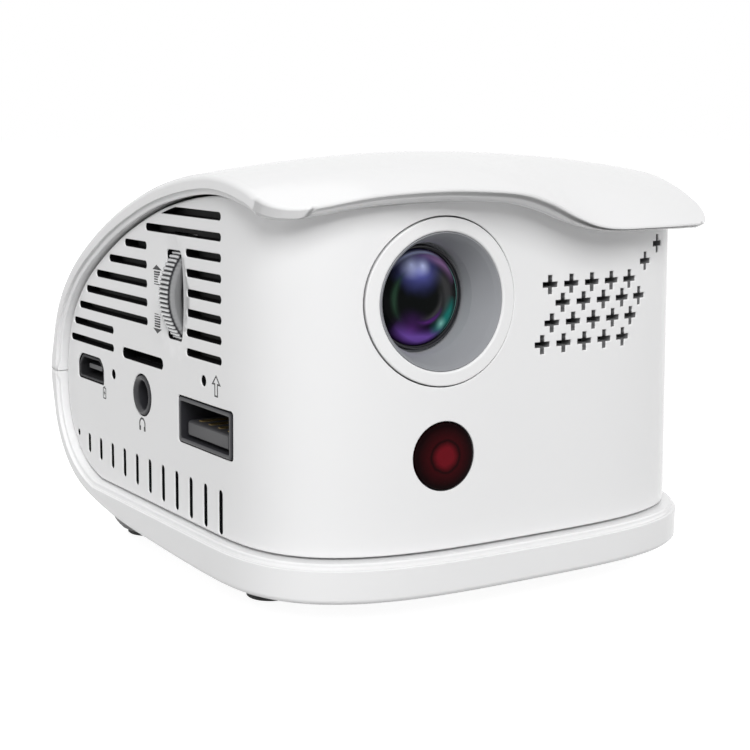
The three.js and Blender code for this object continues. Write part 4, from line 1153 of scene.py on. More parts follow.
@dataclass
class Lens:
    """The white ring, the grey funnel, the barrel and the coated front glass.

    `lip` and `collar` are rows of an offset from the funnel's or the barrel's radius, and a distance behind its front.
    """

    x: float = -11.8
    z: float = CASING.up(0.728)
    ring_radius: float = 9.45
    ring_bore: float = 7.83
    ring_stand: float = 0.2
    ring_depth: float = 3.2
    shroud_radius: float = 7.8
    shroud_tail: float = 0.8
    tail_bevel: float = 0.1
    mouth: float = 7.6
    mouth_depth: float = 0.06
    trap_steps: int = 5
    trap: tuple[Pair, Pair] = ((0.03, -0.35), (-0.02, -0.3))
    barrel_radius: float = 6.0
    recess: float = 5.0
    length: float = 21.0
    gap: float = 0.12
    glass_radius: float = 5.6
    glass_dome: float = 1.9
    glass_edge: float = 1.1
    glass_seat: float = 1.8
    lip: tuple[Pair, ...] = ((0, 0.1), (-0.03, -0.03), (-0.1, -0.05))
    collar: tuple[Pair, ...] = (
        (0, 0.25), (-0.05, 0.07), (-0.13, 0), (-0.21, 0.02), (-0.25, 0.12), (-0.27, 0.36), (-0.34, 0.4),
        (-0.38, 0.6), (-0.38, 1.9), (-0.9, 2.0),
    )

    @property
    def face(self) -> float:
        """The y of the wall at the lens."""
        return float(CASING.front(np.array(self.x), np.array(self.z)))

    @property
    def barrel_front(self) -> float:
        """The y of the barrel's front end."""
        return self.face + self.recess

    def ring(self) -> Piece:
        """Makes the white ring, which follows the bowed front."""
        sheet = Sheet("lens_ring_moulding", lambda p: on_front(p, -self.ring_stand),
                      lambda p: on_front(p, self.ring_depth), Rim(outer=0.18, inner=0.1),
                      Rim(outer=0.3, inner=0.1), spacing=0.7)
        outer = circle(self.x, self.z, self.ring_radius, count=128)
        bore = circle(self.x, self.z, self.ring_bore, count=112)
        return ride(sheet.build(outer, [bore]), HOUSING, "white_gloss", "lens_ring")

    def shroud(self) -> Piece:
        """Makes the grey funnel with its shallow light-trap steps.

        Known fault, left as it is: the last trap step follows the front by a share of 0, so it stands 31 mm further
        back than the others and draws out a thin hidden tube around the barrel.
        """
        back, bore = self.barrel_front + self.shroud_tail, self.barrel_radius + self.gap
        rows = [(self.shroud_radius, back, 0.0), *((self.shroud_radius + wide, deep, 1.0) for wide, deep in self.lip),
                (self.mouth, self.mouth_depth, 1.0)]
        for k in range(1, self.trap_steps + 1):
            share = k / self.trap_steps
            radius = self.mouth + (bore - self.mouth) * share
            rows += [(radius + wide, self.recess * share + deep, 1 - share) for wide, deep in self.trap]
        rows += [(bore, back - self.tail_bevel, 0.0), (bore + self.tail_bevel, back, 0.0)]
        rings = []
        for radius, along, follow in rows:
            loop = circle(self.x, self.z, radius, count=112)
            bowed = CASING.front(loop[:, 0], loop[:, 1])
            flat = self.face if follow > 0 else 0.0
            y = along + flat + follow * (bowed - self.face)
            rings.append(np.stack([loop[:, 0], y, loop[:, 1]], 1))
        return ride(loft("lens_funnel", rings, closed=True, sharp=50), HOUSING, "grey_plastic", "lens_shroud")

    def barrel(self) -> Piece:
        """Makes the barrel with the stepped collar that holds the glass."""
        outer, front = self.barrel_radius, self.barrel_front
        rows = [(0, self.length), *self.collar, (self.collar[-1][0], self.length)]
        profile = [(outer + wide, front + deep) for wide, deep in rows]
        piece = turned("lens_barrel_turned", (self.x, self.z), profile, Way.FORWARD, count=96, closed=True)
        return ride(piece, "lens_barrel", "black_plastic", "lens_barrel")

    def glass(self) -> Piece:
        """Makes the domed front glass."""
        reach, seat = self.glass_radius, self.barrel_front + self.glass_seat
        rim = seat - self.glass_edge
        dome = [(reach * near, rim - self.glass_dome * far) for near, far in arc(0, 0, 1, 0, 90, steps=16)[1:-1]]
        profile = [(0.0, seat), (reach, seat), (reach, rim), *dome, (0.0, rim - self.glass_dome)]
        piece = turned("front_glass", (self.x, self.z), profile, Way.FORWARD, count=72)
        return ride(piece, "lens_barrel", "coated_glass", "front_lens")


@dataclass
class Window:
    """The round dark-red window under the lens; `edge` has offsets from its radius, and depths."""

    z: float = CASING.up(0.383)
    radius: float = 3.85
    stand: float = 0.1
    depth: float = 3.0
    crown: float = 0.12
    steps: int = 8
    edge: tuple[Pair, ...] = ((0, 0.2), (-0.1, 0.05), (-0.3, 0))

    def build(self) -> Piece:
        """Makes the window, with a soft edge and a slight crown."""
        rows = [(0.0, self.depth), (self.radius, self.depth), *((self.radius + wide, deep) for wide, deep in self.edge)]
        flat = rows[-1][0]
        for k in range(1, self.steps + 1):
            radius = flat * (1 - k / self.steps)
            rows.append((radius, -self.crown * (1 - (radius / self.radius) ** 2)))
        rings = [on_front(circle(LENS.x, self.z, radius, count=56), along - self.stand) for radius, along in rows]
        return ride(loft("infrared_window", rings), HOUSING, "red_glass", "ir_window")


@dataclass
class Wheel:
    """The ribbed focus wheel.

    Each row of `form` is a share of the half width, a radius, and a share of the ribs' depth.
    """

    y: float = CASING.back(-0.0545)
    z: float = CASING.up(0.705)
    x: float = -24.4
    radius: float = 8.0
    width: float = 3.4
    slot_width: float = 4.0
    slot_height: float = 10.9
    ribs: int = 88
    rib_depth: float = 0.26
    rib_steps: int = 6
    rib_sharpness: float = 2.2
    form: tuple[Triple, ...] = (
        (0.5, 1.05, 0), (1, 1.15, 0), (1, 2.2, 0), (0.55, 2.5, 0), (0.5, 5.92, 0), (0.95, 6.24, 0), (1, 7.05, 0),
        (0.97, 7.25, 0), (0.78, 7.7, 0.35), (0.7, 7.94, 0.9), (0.6, 8, 1),
    )

    def build(self) -> Piece:
        """Makes the wheel with rounded ribs, bevelled shoulders and dished faces."""
        half, count = self.width / 2, self.ribs * self.rib_steps
        turn = np.arange(count) * 2 * math.pi / count
        groove = (0.5 - 0.5 * np.cos(self.ribs * turn)) ** self.rib_sharpness
        rings = []
        for side, rows in ((-1, self.form), (1, self.form[::-1])):
            for share, radius, rib in rows:
                reach = radius - rib * self.rib_depth * groove
                rings.append(np.stack([self.x + reach * np.cos(turn), np.full(count, self.y + side * half * share),
                                       self.z + reach * np.sin(turn)], 1))
        piece = loft("focus_wheel_ribbed", rings, closed=True, sharp=40)
        return ride(piece, "focus_wheel", "silver_plastic", "focus_wheel")


@dataclass
class Sockets:
    """The sockets on the port side.

    Each section of a contact, spring or tongue is a lift, a width, a height and a distance behind the panel.
    """

    face: float = -CASING.panel_half
    board_bottom: float = CASING.up(0.491)
    board_thick: float = 0.8
    switch_height: float = 1.6
    usb_width: float = 13.4
    usb_height: float = 5.5
    usb_depth: float = 14.0
    usb_skin: float = 0.5
    usb_corner: float = 0.45
    mouth_corner: float = 0.3
    usb_drop: float = 1.2
    usb_y: float = CASING.back(-0.272)
    usb_pitch: float = 2.45
    tongue_height: float = 1.9
    tongue_lift: float = 1.6
    tongue_side: float = 1.8
    tongue_end: float = 0.7
    tongue_nose: tuple[Pair, ...] = ((0, 0.95), (0.15, 0.65), (0.45, 0.5))
    contact_proud: float = 0.02
    micro_width: float = 7.6
    micro_height: float = 2.5
    micro_depth: float = 5.6
    micro_skin: float = 0.35
    micro_inset: float = 0.15
    micro_cut: float = 0.45
    micro_y: float = CASING.back(0.64)
    micro_pitch: float = 0.72
    card_width: float = 12.1
    card_slot: float = 1.4
    card_skin: float = 0.5
    card_y: float = CASING.back(0.192)
    jack_y: float = CASING.back(0.196)
    jack_height: float = 5.5
    jack_collar: float = 2.55
    jack_bore: float = 1.75
    pin_radius: float = 0.65
    reset_share: float = 0.85
    reset_y: float = CASING.back(0.437)
    upgrade_y: float = CASING.back(-0.2695)
    # Share of the way to the lip from the box, and distance behind the front; then the same from the mouth.
    mouth_form: tuple[tuple[Pair, ...], tuple[Pair, ...]] = (((0, 0.18), (0.1, 0.05), (0.4, 0)),
                                                             ((0.4, 0), (0.1, 0.06), (0, 0.2)))
    contact: tuple[tuple[float, ...], ...] = ((0, 1.05, 0.14, 9), (0, 1.05, 0.14, 2), (0, 0.65, 0.14, 1.4))
    spring: tuple[tuple[float, ...], ...] = ((-0.025, 1.5, 0.15, 1), (-0.275, 1.5, 0.65, 2.6), (-0.05, 1.5, 0.2, 6))
    micro_tongue: tuple[tuple[float, ...], ...] = ((0.1, 4.5, 0.75, 5), (0.1, 4.5, 0.75, 1.1), (0.1, 4.2, 0.6, 0.75))
    micro_contact: tuple[tuple[float, ...], ...] = ((-0.29, 0.34, 0.1, 4.6), (-0.29, 0.34, 0.1, 1.3))
    # Offset from the collar's or the bore's radius, and distance behind the panel.
    jack_outside: tuple[Pair, ...] = ((0, 12), (0, 0.1), (-0.12, -0.1), (-0.3, -0.15))
    jack_inside: tuple[Pair, ...] = ((0.35, -0.1), (0.12, 0.12), (0, 0.4), (0, 3.2), (0.2, 3.3), (0.2, 4.2), (0, 4.3),
                                     (0, 10.5))

    @property
    def usb_z(self) -> float:
        """Middle height of the USB socket."""
        return self.board_bottom - self.usb_height / 2 - self.usb_drop

    @property
    def micro_z(self) -> float:
        """Middle height of the micro-USB socket."""
        return self.board_bottom - self.micro_height / 2 - self.micro_skin

    @property
    def card_z(self) -> float:
        """Middle height of the card slot."""
        return self.board_bottom + self.board_thick + self.card_skin + self.card_slot / 2

    @property
    def jack_z(self) -> float:
        """Middle height of the headphone jack."""
        return self.board_bottom - self.jack_height / 2

    @property
    def reset_z(self) -> float:
        """Height of the reset pinhole."""
        return self.board_bottom - self.switch_height * self.reset_share

    @property
    def upgrade_z(self) -> float:
        """Height of the pinhole beside the outlined arrow."""
        return self.board_bottom + self.board_thick + self.switch_height / 2

    def micro_outline(self, grow: float) -> np.ndarray:
        """The micro-USB mouth, wider below than above.

        Args:
            grow: How far outside the mouth the outline runs.

        Returns:
            Points (y, z).
        """
        w, h, cut = self.micro_width / 2 + grow, self.micro_height / 2 + grow, self.micro_height * self.micro_cut
        corners = [(-w, -h), (w, -h), (w, h - cut), (w - cut, h), (-w + cut, h), (-w, h - cut)]
        rounded: list[Pair] = []
        for before, at, after in zip(corners[-1:] + corners, corners, corners[1:] + corners[:1]):
            rounded += soften([before, at, after], self.mouth_corner + grow / 2)[1:-1]
        return np.array(rounded) + [self.micro_y, self.micro_z]

    def pocket(self, name: str, outer: np.ndarray, mouth: np.ndarray, depth: float, front: float,
               floor: float) -> Piece:
        """A socket's shell: a box with a mouth whose edge is rolled.

        Args:
            name: Name of the piece.
            outer: Outline of the box.
            mouth: Outline of the mouth, with as many points.
            depth: Depth of the box.
            front: The x of its front.
            floor: Thickness behind the mouth's floor.

        Returns:
            The object.
        """
        lip = (outer + mouth) / 2
        rows = [(outer, depth)]
        for edge, form in zip((outer, mouth), self.mouth_form):
            rows += [(edge * (1 - share) + lip * share, along) for share, along in form]
        rows.append((mouth, depth - floor))
        return loft(name, [placed(loop, front + along, Way.INBOARD) for loop, along in rows], sharp=40)

    def bar(self, name: str, y: float, z: float, form: Sequence[Sequence[float]], corner: float) -> Piece:
        """A bar that runs inboard from the panel.

        Args:
            name: Name of the piece.
            y: Its middle along the body.
            z: Its middle height.
            form: Lift, width, height and distance behind the panel of each section.
            corner: Rounding of its corners.

        Returns:
            The object.
        """
        return loft(name, [placed(rounded_box(y, z + lift, wide, high, corner), self.face + along, Way.INBOARD)
                           for lift, wide, high, along in form])

    def usb(self) -> list[Piece]:
        """Makes the USB socket: shell, sprung tabs, tongue and four contacts."""
        skin, high = self.usb_skin, self.tongue_height
        outer = rounded_box(self.usb_y, self.usb_z, self.usb_width, self.usb_height, self.usb_corner)
        mouth = rounded_box(self.usb_y, self.usb_z, self.usb_width - 2 * skin, self.usb_height - 2 * skin,
                            self.mouth_corner)
        shell = self.pocket("usb_shell", outer, mouth, self.usb_depth, self.face, skin)
        made = [ride(shell, HOUSING, "black_plastic", "usb_socket")]
        roof = self.usb_z + self.usb_height / 2 - skin
        low = self.usb_z - self.usb_height / 2 + skin * self.tongue_lift
        wide = self.usb_width - 2 * skin - self.tongue_side
        form = [(0, wide - less, high - less, along)
                for less, along in ((0, self.usb_depth - self.tongue_end), *self.tongue_nose)]
        tongue = self.bar("usb_tongue_moulding", self.usb_y, low + high / 2, form, corner=0.2)
        made.append(ride(tongue, HOUSING, "grey_plastic", "usb_tongue"))
        for k in range(4):
            y = self.usb_y + (k - 1.5) * self.usb_pitch
            contact = self.bar(f"usb_contact_{k + 1}", y, low + high + self.contact_proud, self.contact, corner=0.05)
            made.append(ride(contact, HOUSING, "brass"))
            if k in (0, 3):
                spring = self.bar(f"usb_spring_{k + 1}", y, roof, self.spring, corner=0.04)
                made.append(ride(spring, HOUSING, "black_plastic"))
        return made

    def micro_usb(self) -> list[Piece]:
        """Makes the micro-USB socket: formed shell, tongue and contacts."""
        shell = self.pocket("micro_usb_shell", self.micro_outline(self.micro_skin), self.micro_outline(0),
                            self.micro_depth - self.micro_inset, self.face + self.micro_inset, self.micro_skin)
        tongue = self.bar("micro_usb_tongue_moulding", self.micro_y, self.micro_z, self.micro_tongue, corner=0.12)
        made = [ride(shell, HOUSING, "steel", "micro_usb_socket"),
                ride(tongue, HOUSING, "black_plastic", "micro_usb_tongue")]
        for k in range(5):
            y = self.micro_y + (k - 2) * self.micro_pitch
            contact = self.bar(f"micro_usb_contact_{k + 1}", y, self.micro_z, self.micro_contact, corner=0.03)
            made.append(ride(contact, HOUSING, "brass"))
        return made

    def jack(self) -> Piece:
        """Makes the headphone jack's turned collar and stepped bore."""
        rows = [(self.jack_collar + wide, along) for wide, along in self.jack_outside]
        rows += [(self.jack_bore + wide, along) for wide, along in self.jack_inside]
        rows = [(0.0, rows[0][1]), *rows, (0.0, rows[-1][1])]
        profile = [(radius, self.face + along) for radius, along in rows]
        piece = turned("headphone_collar", (self.jack_y, self.jack_z), profile, Way.INBOARD, count=48)
        return ride(piece, HOUSING, "black_plastic", "headphone_jack")

    def build(self) -> list[Piece]:
        """Makes every socket."""
        return [*self.usb(), *self.micro_usb(), self.jack()]


@dataclass
class PowerButton:
    """The round button on the starboard side.

    `stem` and `cap` are rows of a radius and a distance outside the flange's face or the button's top; the radii of
    `cap` are offsets from the button's own.
    """

    y: float = CASING.back(-0.272)
    z: float = CASING.up(0.43)
    radius: float = 2.9
    stand: float = 0.7
    flange_depth: float = 2.1
    stem: tuple[Pair, ...] = ((0, -1.2), (1.16, -1.2), (1.16, -0.6), (3.75, -0.6), (3.75, 0))
    cap: tuple[Pair, ...] = ((0, -0.35), (-0.12, -0.1), (-0.4, 0), (-1.16, -0.06), (-2.03, -0.12), (-2.9, -0.14))

    def build(self) -> Piece:
        """Makes the cap with its dished face, its flange and its stem."""
        inner, top = CASING.panel_half - self.flange_depth, CASING.panel_half + self.stand
        profile = [*((radius, inner + out) for radius, out in self.stem), (self.radius, inner),
                   *((self.radius + wide, top + out) for wide, out in self.cap)]
        piece = turned("power_cap", (self.y, self.z), profile, Way.OUTBOARD, count=56)
        return ride(piece, "power_button", "white_gloss", "power_button")


def four_places(front: Pair, rear: Pair) -> dict[str, Pair]:
    """Places under the tray's four corners.

    Args:
        front: Place across and share of the half length of the front two.
        rear: The same for the rear two.

    Returns:
        Each place (x, y) by the corner's name.
    """
    return {f"{end}_{side.name.lower()}": (side.value * x, CASING.back(share))
            for end, (x, share) in (("front", front), ("rear", rear)) for side in Side}


@dataclass
class Feet:
    """Four domed feet with dark soles.

    `skirt` has offsets from the sole's radius and height, and `pad` the sole's own radii and heights.
    """

    front: Pair = (23.5, -0.34)
    rear: Pair = (23.5, 0.594)
    radius: float = 5.4
    sole: float = 2.9
    sole_height: float = 0.5
    top: float = 6.4
    rear_top: float = 8.0
    steps: int = 10
    centre_share: float = 0.8
    skirt: tuple[Pair, ...] = ((-2.9, 0.1), (-0.29, 0.1), (0.05, 0.02))
    pad: tuple[Pair, ...] = ((0, 0.12), (1.305, 0.12), (1.45, 0.02), (2.75, 0), (2.9, 0.12), (2.9, 0.5), (0, 0.5))

    def places(self) -> dict[str, Pair]:
        """Where the feet stand, as (x, y)."""
        return four_places(self.front, self.rear)

    def build(self) -> list[Piece]:
        """Makes the feet and their soles."""
        made, seat = [], self.sole_height
        centre = math.sqrt(self.radius ** 2 - (self.sole * self.centre_share) ** 2)
        levels = [seat + (centre - seat) * k / self.steps for k in range(1, self.steps + 1)]
        dome = [(math.sqrt(max(self.radius ** 2 - (centre - z) ** 2, 0)), z) for z in levels]
        for name, place in self.places().items():
            top = self.top if place[1] < 0 else self.rear_top
            profile = [*((self.sole + wide, seat + high) for wide, high in self.skirt), *dome,
                       (self.radius, top), (0.0, top)]
            foot = turned(f"foot_dome_{name}", place, profile, Way.UP, count=56)
            sole = turned(f"sole_pad_{name}", place, self.pad, Way.UP, count=48)
            made += [ride(foot, HOUSING, "grey_rubber", f"foot_{name}"),
                     ride(sole, HOUSING, "dark_rubber", f"sole_{name}")]
        return made


@dataclass
class BaseScrews:
    """The four screws under the tray, with cross recesses.

    `recess` has shares of the cross and their depths, `head_form` offsets from the head's radius and their heights,
    and `tip` a share of the shank and how far the tip stands past it.
    """

    front: Pair = (23.2, -0.6)
    rear: Pair = (25.8, 0.398)
    head: float = 1.7
    shank: float = 1.0
    length: float = 7.6
    cross: float = 1.05
    cross_arm: float = 0.24
    cross_step: float = 0.45
    arm_taper: float = 0.6
    recess: tuple[Pair, Pair] = ((0.35, 0.75), (1, 0.06))
    head_form: tuple[Pair, ...] = ((-0.35, 0), (-0.1, 0.14), (0, 0.4), (0, 0.95))
    head_height: float = 0.95
    tip: Pair = (0.6, 0.6)

    def places(self) -> dict[str, Pair]:
        """Where the screws stand, as (x, y)."""
        return four_places(self.front, self.rear)

    def build(self) -> list[Piece]:
        """Makes the screws, each head round with a cross sunk into it."""
        return [self.screw(name, *place) for name, place in self.places().items()]

    def cross_loop(self, x: float, y: float, scale: float) -> np.ndarray:
        """The recess's outline about (x, y) at a scale, with which the arms' width falls more slowly."""
        arm = self.cross_arm * (1 - self.arm_taper + self.arm_taper * scale)
        return refined(plus(self.cross * scale, arm), self.cross_step) + [x, y]

    def screw(self, name: str, x: float, y: float) -> Piece:
        """One screw.

        Args:
            name: Which corner it is in.
            x: Place across.
            y: Place along.

        Returns:
            The object.
        """
        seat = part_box(f"base_screw_{name}")[0].z / MM
        cross = self.cross_loop(x, y, 1)
        turn = np.arctan2(cross[:, 1] - y, cross[:, 0] - x)
        rounds = [*((self.head + wide, along) for wide, along in self.head_form), (self.shank, self.head_height),
                  (self.shank, self.length), (self.shank * self.tip[0], self.length + self.tip[1])]
        rows = [(self.cross_loop(x, y, scale), along) for scale, along in self.recess]
        rows += [(np.stack([x + radius * np.cos(turn), y + radius * np.sin(turn)], 1), along)
                 for radius, along in rounds]
        piece = loft(f"tray_screw_{name}", [placed(loop, seat + along, Way.UP) for loop, along in rows], sharp=45)
        return ride(piece, HOUSING, "steel", f"base_screw_{name}")


@dataclass
class Prints:
    """Plain printed signs on the port panel, with no lettering.

    Places are (y, z), and a box is its width, its height and the rounding of its corners.
    """

    wall: WallMoulding
    rim: Rim = field(default_factory=lambda: Rim(outer=0.0, inner=0.0, steps=1))
    step: float = 0.5
    proud: float = 0.012
    sunk: float = 0.03
    bar_width: float = 1.5
    bar_height: float = 0.22
    bar_thinning: float = 0.02
    bar_pitch: float = 0.3
    bar_gap: float = 0.28
    bars: int = 6
    arrow_y: float = 2.35
    arrow_low: float = 30.6
    arrow_high: float = 39.1
    head_width: float = 2.3
    head_height: float = 0.62
    headphones_at: Pair = (7.19, 18.35)
    battery_at: Pair = (18.95, 20.6)
    upload_at: Pair = (-13.15, 26.35)
    bow: Pair = (0.92, 0.66)
    bow_sweep: Pair = (-35, 215)
    line: float = 0.2
    cup: tuple[float, ...] = (0.46, 0.62, 0.14)
    cup_at: Pair = (0.68, -0.5)
    cell: tuple[float, ...] = (1.0, 1.55, 0.2)
    cell_bore: tuple[float, ...] = (0.68, 1.23, 0.1)
    cell_cap: tuple[float, ...] = (0.42, 0.13, 0.03)
    cap_lift: float = 0.86
    bolt: tuple[Pair, ...] = ((0.16, 0.48), (-0.26, -0.08), (-0.02, -0.06), (-0.16, -0.48), (0.26, 0.1), (0.02, 0.07))
    arrow: tuple[Pair, ...] = ((-0.42, -1.3), (0.42, -1.3), (0.42, 0.1), (1.1, 0.1), (0, 1.3), (-1.1, 0.1),
                               (-0.42, 0.1))

    def stamp(self, name: str, loop: Sequence[Pair], holes: Sequence = ()) -> None:
        """Prints one closed shape on the panel.

        Args:
            name: Name of the piece.
            loop: Outline (y, z).
            holes: Outlines left open inside it.
        """
        sheet = Sheet(name, lambda p: self.wall.skin(p, -self.proud, 1), lambda p: self.wall.skin(p, self.sunk, 1),
                      self.rim, self.rim, spacing=0.6)
        loops = [self.wall.side(refined(np.array(points, float), self.step), Side.PORT) for points in (loop, *holes)]
        piece = sheet.build(loops[0], loops[1:])
        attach(piece, HOUSING)
        PrintInk().dress(piece)

    def focus_arrow(self) -> None:
        """The double-headed arrow beside the wheel, with bars that thin towards its middle."""
        y, half, wide = self.arrow_y, self.head_width / 2, self.bar_width / 2
        for end, way, word in ((self.arrow_high, 1, "up"), (self.arrow_low, -1, "down")):
            base = end - way * self.head_height
            self.stamp(f"print_focus_{word}", [(y - half, base), (y + half, base), (y, end)])
            level = base - way * self.bar_gap
            for k in range(self.bars):
                high = (self.bar_height - self.bar_thinning * k) / 2
                self.stamp(f"print_bar_{word}_{k + 1}", [(y - wide, level - high), (y + wide, level - high),
                                                         (y + wide, level + high), (y - wide, level + high)])
                level -= way * self.bar_pitch

    def headphones(self) -> None:
        """The headphone sign: a bow between two cups."""
        y, z = self.headphones_at
        outer, inner = self.bow
        start, end = self.bow_sweep
        self.stamp("print_bow", arc(y, z, outer, start, end, steps=20) + arc(y, z, inner, end, start, steps=20))
        for side, word in ((-1, "fore"), (1, "aft")):
            self.stamp(f"print_cup_{word}", rounded_box(y + side * self.cup_at[0], z + self.cup_at[1], *self.cup))

    def battery(self) -> None:
        """The battery sign with its bolt."""
        y, z = self.battery_at
        self.stamp("print_cell", rounded_box(y, z, *self.cell), [rounded_box(y, z, *self.cell_bore)])
        self.stamp("print_cell_cap", rounded_box(y, z + self.cap_lift, *self.cell_cap))
        self.stamp("print_bolt", [(y + u, z + v) for u, v in self.bolt])

    def upload(self) -> None:
        """The outlined arrow beside the pinhole."""
        shape = np.array(self.arrow)
        outer, inner = (shape - outward(shape) * inset + self.upload_at for inset in (0, self.line))
        self.stamp("print_upload", outer, [inner])

    def build(self) -> None:
        """Prints every sign."""
        self.focus_arrow()
        self.headphones()
        self.battery()
        self.upload()


LENS = Lens()
WINDOW = Window()
WHEEL = Wheel()
SOCKETS = Sockets()
POWER = PowerButton()
FEET = Feet()
SCREWS = BaseScrews()


# Finishes


class Relief(Enum):
    """The fine texture of a surface."""

    SPARKED = "sparked mould texture"
    POLISHED = "polished moulding"
    BRUSHED = "brushed metal"
    FOAM = "open foam"
    GRAINED = "grained rubber"
    BOARD = "solder mask over tracks"


@dataclass
class Nodes:
    """Short ways to add nodes to a tree."""

    tree: bpy.types.NodeTree

    def feed(self, socket: Socket, value: object) -> None:
        """Links an output to a socket, or sets the socket's value, a colour of three numbers being opaque."""
        if isinstance(value, bpy.types.NodeSocket):
            self.tree.links.new(value, socket)
        else:
            socket.default_value = (*value, 1) if isinstance(value, tuple) else value

    def add(self, kind: str, output: object, inputs: dict[object, object], **settings: str) -> Socket:
        """Adds a node.

        Args:
            kind: Its type, without the word that all shader nodes share.
            output: Name or number of the socket that is wanted.
            inputs: What feeds its sockets, by name or number.
            **settings: Its own choices, such as an operation.

        Returns:
            The output socket.
        """
        node = self.tree.nodes.new(f"ShaderNode{kind}")
        for label, value in settings.items():
            setattr(node, label, value)
        for label, value in inputs.items():
            self.feed(node.inputs[label], value)
        return node.outputs[output]

    def noise(self, place: Socket, scale: object, detail: float) -> Socket:
        """Noise about one half."""
        return self.add("TexNoise", "Fac", {"Detail": detail, "Vector": place, "Scale": scale})

    def cells(self, place: Socket, scale: float) -> Socket:
        """Distance to the middle of the nearest cell."""
        return self.add("TexVoronoi", "Distance", {"Vector": place, "Scale": scale})

    def maths(self, operation: str, first: object, second: object = 0) -> Socket:
        """A sum, product or other operation on two values."""
        return self.add("Math", "Value", {0: first, 1: second}, operation=operation)

    def distance(self, u: object, middle_u: float, v: object, middle_v: float) -> Socket:
        """Distance in a plane from a middle."""
        first, second = self.maths("SUBTRACT", u, middle_u), self.maths("SUBTRACT", v, middle_v)
        squares = self.maths("ADD", self.maths("MULTIPLY", first, first), self.maths("MULTIPLY", second, second))
        return self.maths("SQRT", squares)

    def clamp(self, value: object) -> Socket:
        """The value kept between nought and one."""
        return self.add("Clamp", "Result", {"Value": value})

    def mix(self, share: object, first: object, second: object) -> Socket:
        """Two colours mixed."""
        return self.add("Mix", 2, {"Factor": share, 6: first, 7: second}, data_type="RGBA")

    def spread(self, value: object, low: float, high: float, to_low: float, to_high: float) -> Socket:
        """A value moved from one range to another, and kept in it."""
        return self.add("MapRange", "Result", {"Value": value, "From Min": low, "From Max": high,
                                               "To Min": to_low, "To Max": to_high})

    def place(self) -> Socket:
        """The object's own coordinates, in metres."""
        return self.add("TexCoord", "Object", {})

    def split(self, place: Socket) -> tuple[Socket, Socket, Socket]:
        """The x, y and z of a place."""
        node = self.tree.nodes.new("ShaderNodeSeparateXYZ")
        self.feed(node.inputs["Vector"], place)
        return node.outputs["X"], node.outputs["Y"], node.outputs["Z"]

    def use(self, group: bpy.types.ShaderNodeTree, place: Socket, **values: float) -> bpy.types.Node:
        """Puts a group into the tree.

        Args:
            group: The node group.
            place: Coordinates that feed it.
            **values: Values of its sockets, with underscores for spaces.

        Returns:
            The node.
        """
        node = self.tree.nodes.new("ShaderNodeGroup")
        node.node_tree = group
        self.tree.links.new(place, node.inputs["Place"])
        for label, value in values.items():
            node.inputs[label.replace("_", " ")].default_value = value
        return node


@dataclass
class Effect:
    """A shader node group that several finishes share, made when it is first asked for.

    `inputs` are its number sockets with their defaults, and `make` maps the place and those sockets to its outputs.
    """

    name: str
    inputs: dict[str, float]
    make: Callable[..., dict[str, Socket]]

    def tree(self) -> bpy.types.ShaderNodeTree:
        """The group's tree."""
        found = bpy.data.node_groups.get(self.name)
        if found:
            return found
        tree = bpy.data.node_groups.new(self.name, "ShaderNodeTree")
        tree.interface.new_socket("Place", in_out="INPUT", socket_type="NodeSocketVector")
        for label, value in self.inputs.items():
            socket = tree.interface.new_socket(label, in_out="INPUT", socket_type="NodeSocketFloat")
            socket.default_value = value
        start, end = tree.nodes.new("NodeGroupInput"), tree.nodes.new("NodeGroupOutput")
        sockets = [start.outputs[label] for label in ("Place", *self.inputs)]
        for label, value in self.make(Nodes(tree), *sockets).items():
            tree.interface.new_socket(label, in_out="OUTPUT", socket_type="NodeSocketFloat")
            tree.links.new(value, end.inputs[label])
        return tree


PATCH_SCALE = 240.0
WORN_GAIN = 14.0
DUST_GAIN = 10.0


def moulded_relief(nodes: Nodes, place: Socket, grain_scale: Socket, ripple_scale: Socket,
                   share: Socket) -> dict[str, Socket]:
    """Fine grain over a slow ripple, with a patch mask: the surface of a moulding."""
    grain, ripple = nodes.noise(place, grain_scale, 2), nodes.noise(place, ripple_scale, 1)
    return {"Height": nodes.maths("ADD", grain, nodes.maths("MULTIPLY", ripple, share)), "Patches": ripple}


def drawn_lines(nodes: Nodes, place: Socket, stretch: Socket, line_scale: Socket) -> dict[str, Socket]:
    """Long fine scratches, with a patch mask: the surface of drawn or brushed metal."""
    squeeze = nodes.add("CombineXYZ", "Vector", {"X": 1.0, "Y": stretch, "Z": 1.0})
    squeezed = nodes.add("VectorMath", "Vector", {0: place, 1: squeeze}, operation="MULTIPLY")
    return {"Height": nodes.noise(squeezed, line_scale, 2), "Patches": nodes.noise(place, PATCH_SCALE, 2)}


def edges_and_dust(nodes: Nodes, place: Socket, edge: Socket, hollow: Socket, break_scale: Socket) -> dict[str, Socket]:
    """Masks for rubbed edges and for dust that lies in the corners.

    Args:
        nodes: The group's tree.
        place: Coordinates.
        edge: Pointiness over which an edge is rubbed.
        hollow: Pointiness under which dust lies.
        break_scale: Scale of the noise that breaks both up.

    Returns:
        The masks by name.
    """
    point = nodes.add("NewGeometry", "Pointiness", {})
    broken = nodes.noise(place, break_scale, 3)
    masks = {}
    for label, high, low, gain in (("Worn", point, edge, WORN_GAIN), ("Dusty", hollow, point, DUST_GAIN)):
        share = nodes.clamp(nodes.maths("MULTIPLY", nodes.maths("SUBTRACT", high, low), gain))
        masks[label] = nodes.maths("MULTIPLY", share, broken)
    return masks


MOULDED = Effect("moulded_relief", {"Grain Scale": 2500.0, "Ripple Scale": 90.0, "Ripple": 0.3}, moulded_relief)
DRAWN = Effect("drawn_lines", {"Stretch": 0.06, "Line Scale": 3000.0}, drawn_lines)
WORN = Effect("edges_and_dust", {"Edge": 0.53, "Hollow": 0.47, "Break Scale": 900.0}, edges_and_dust)


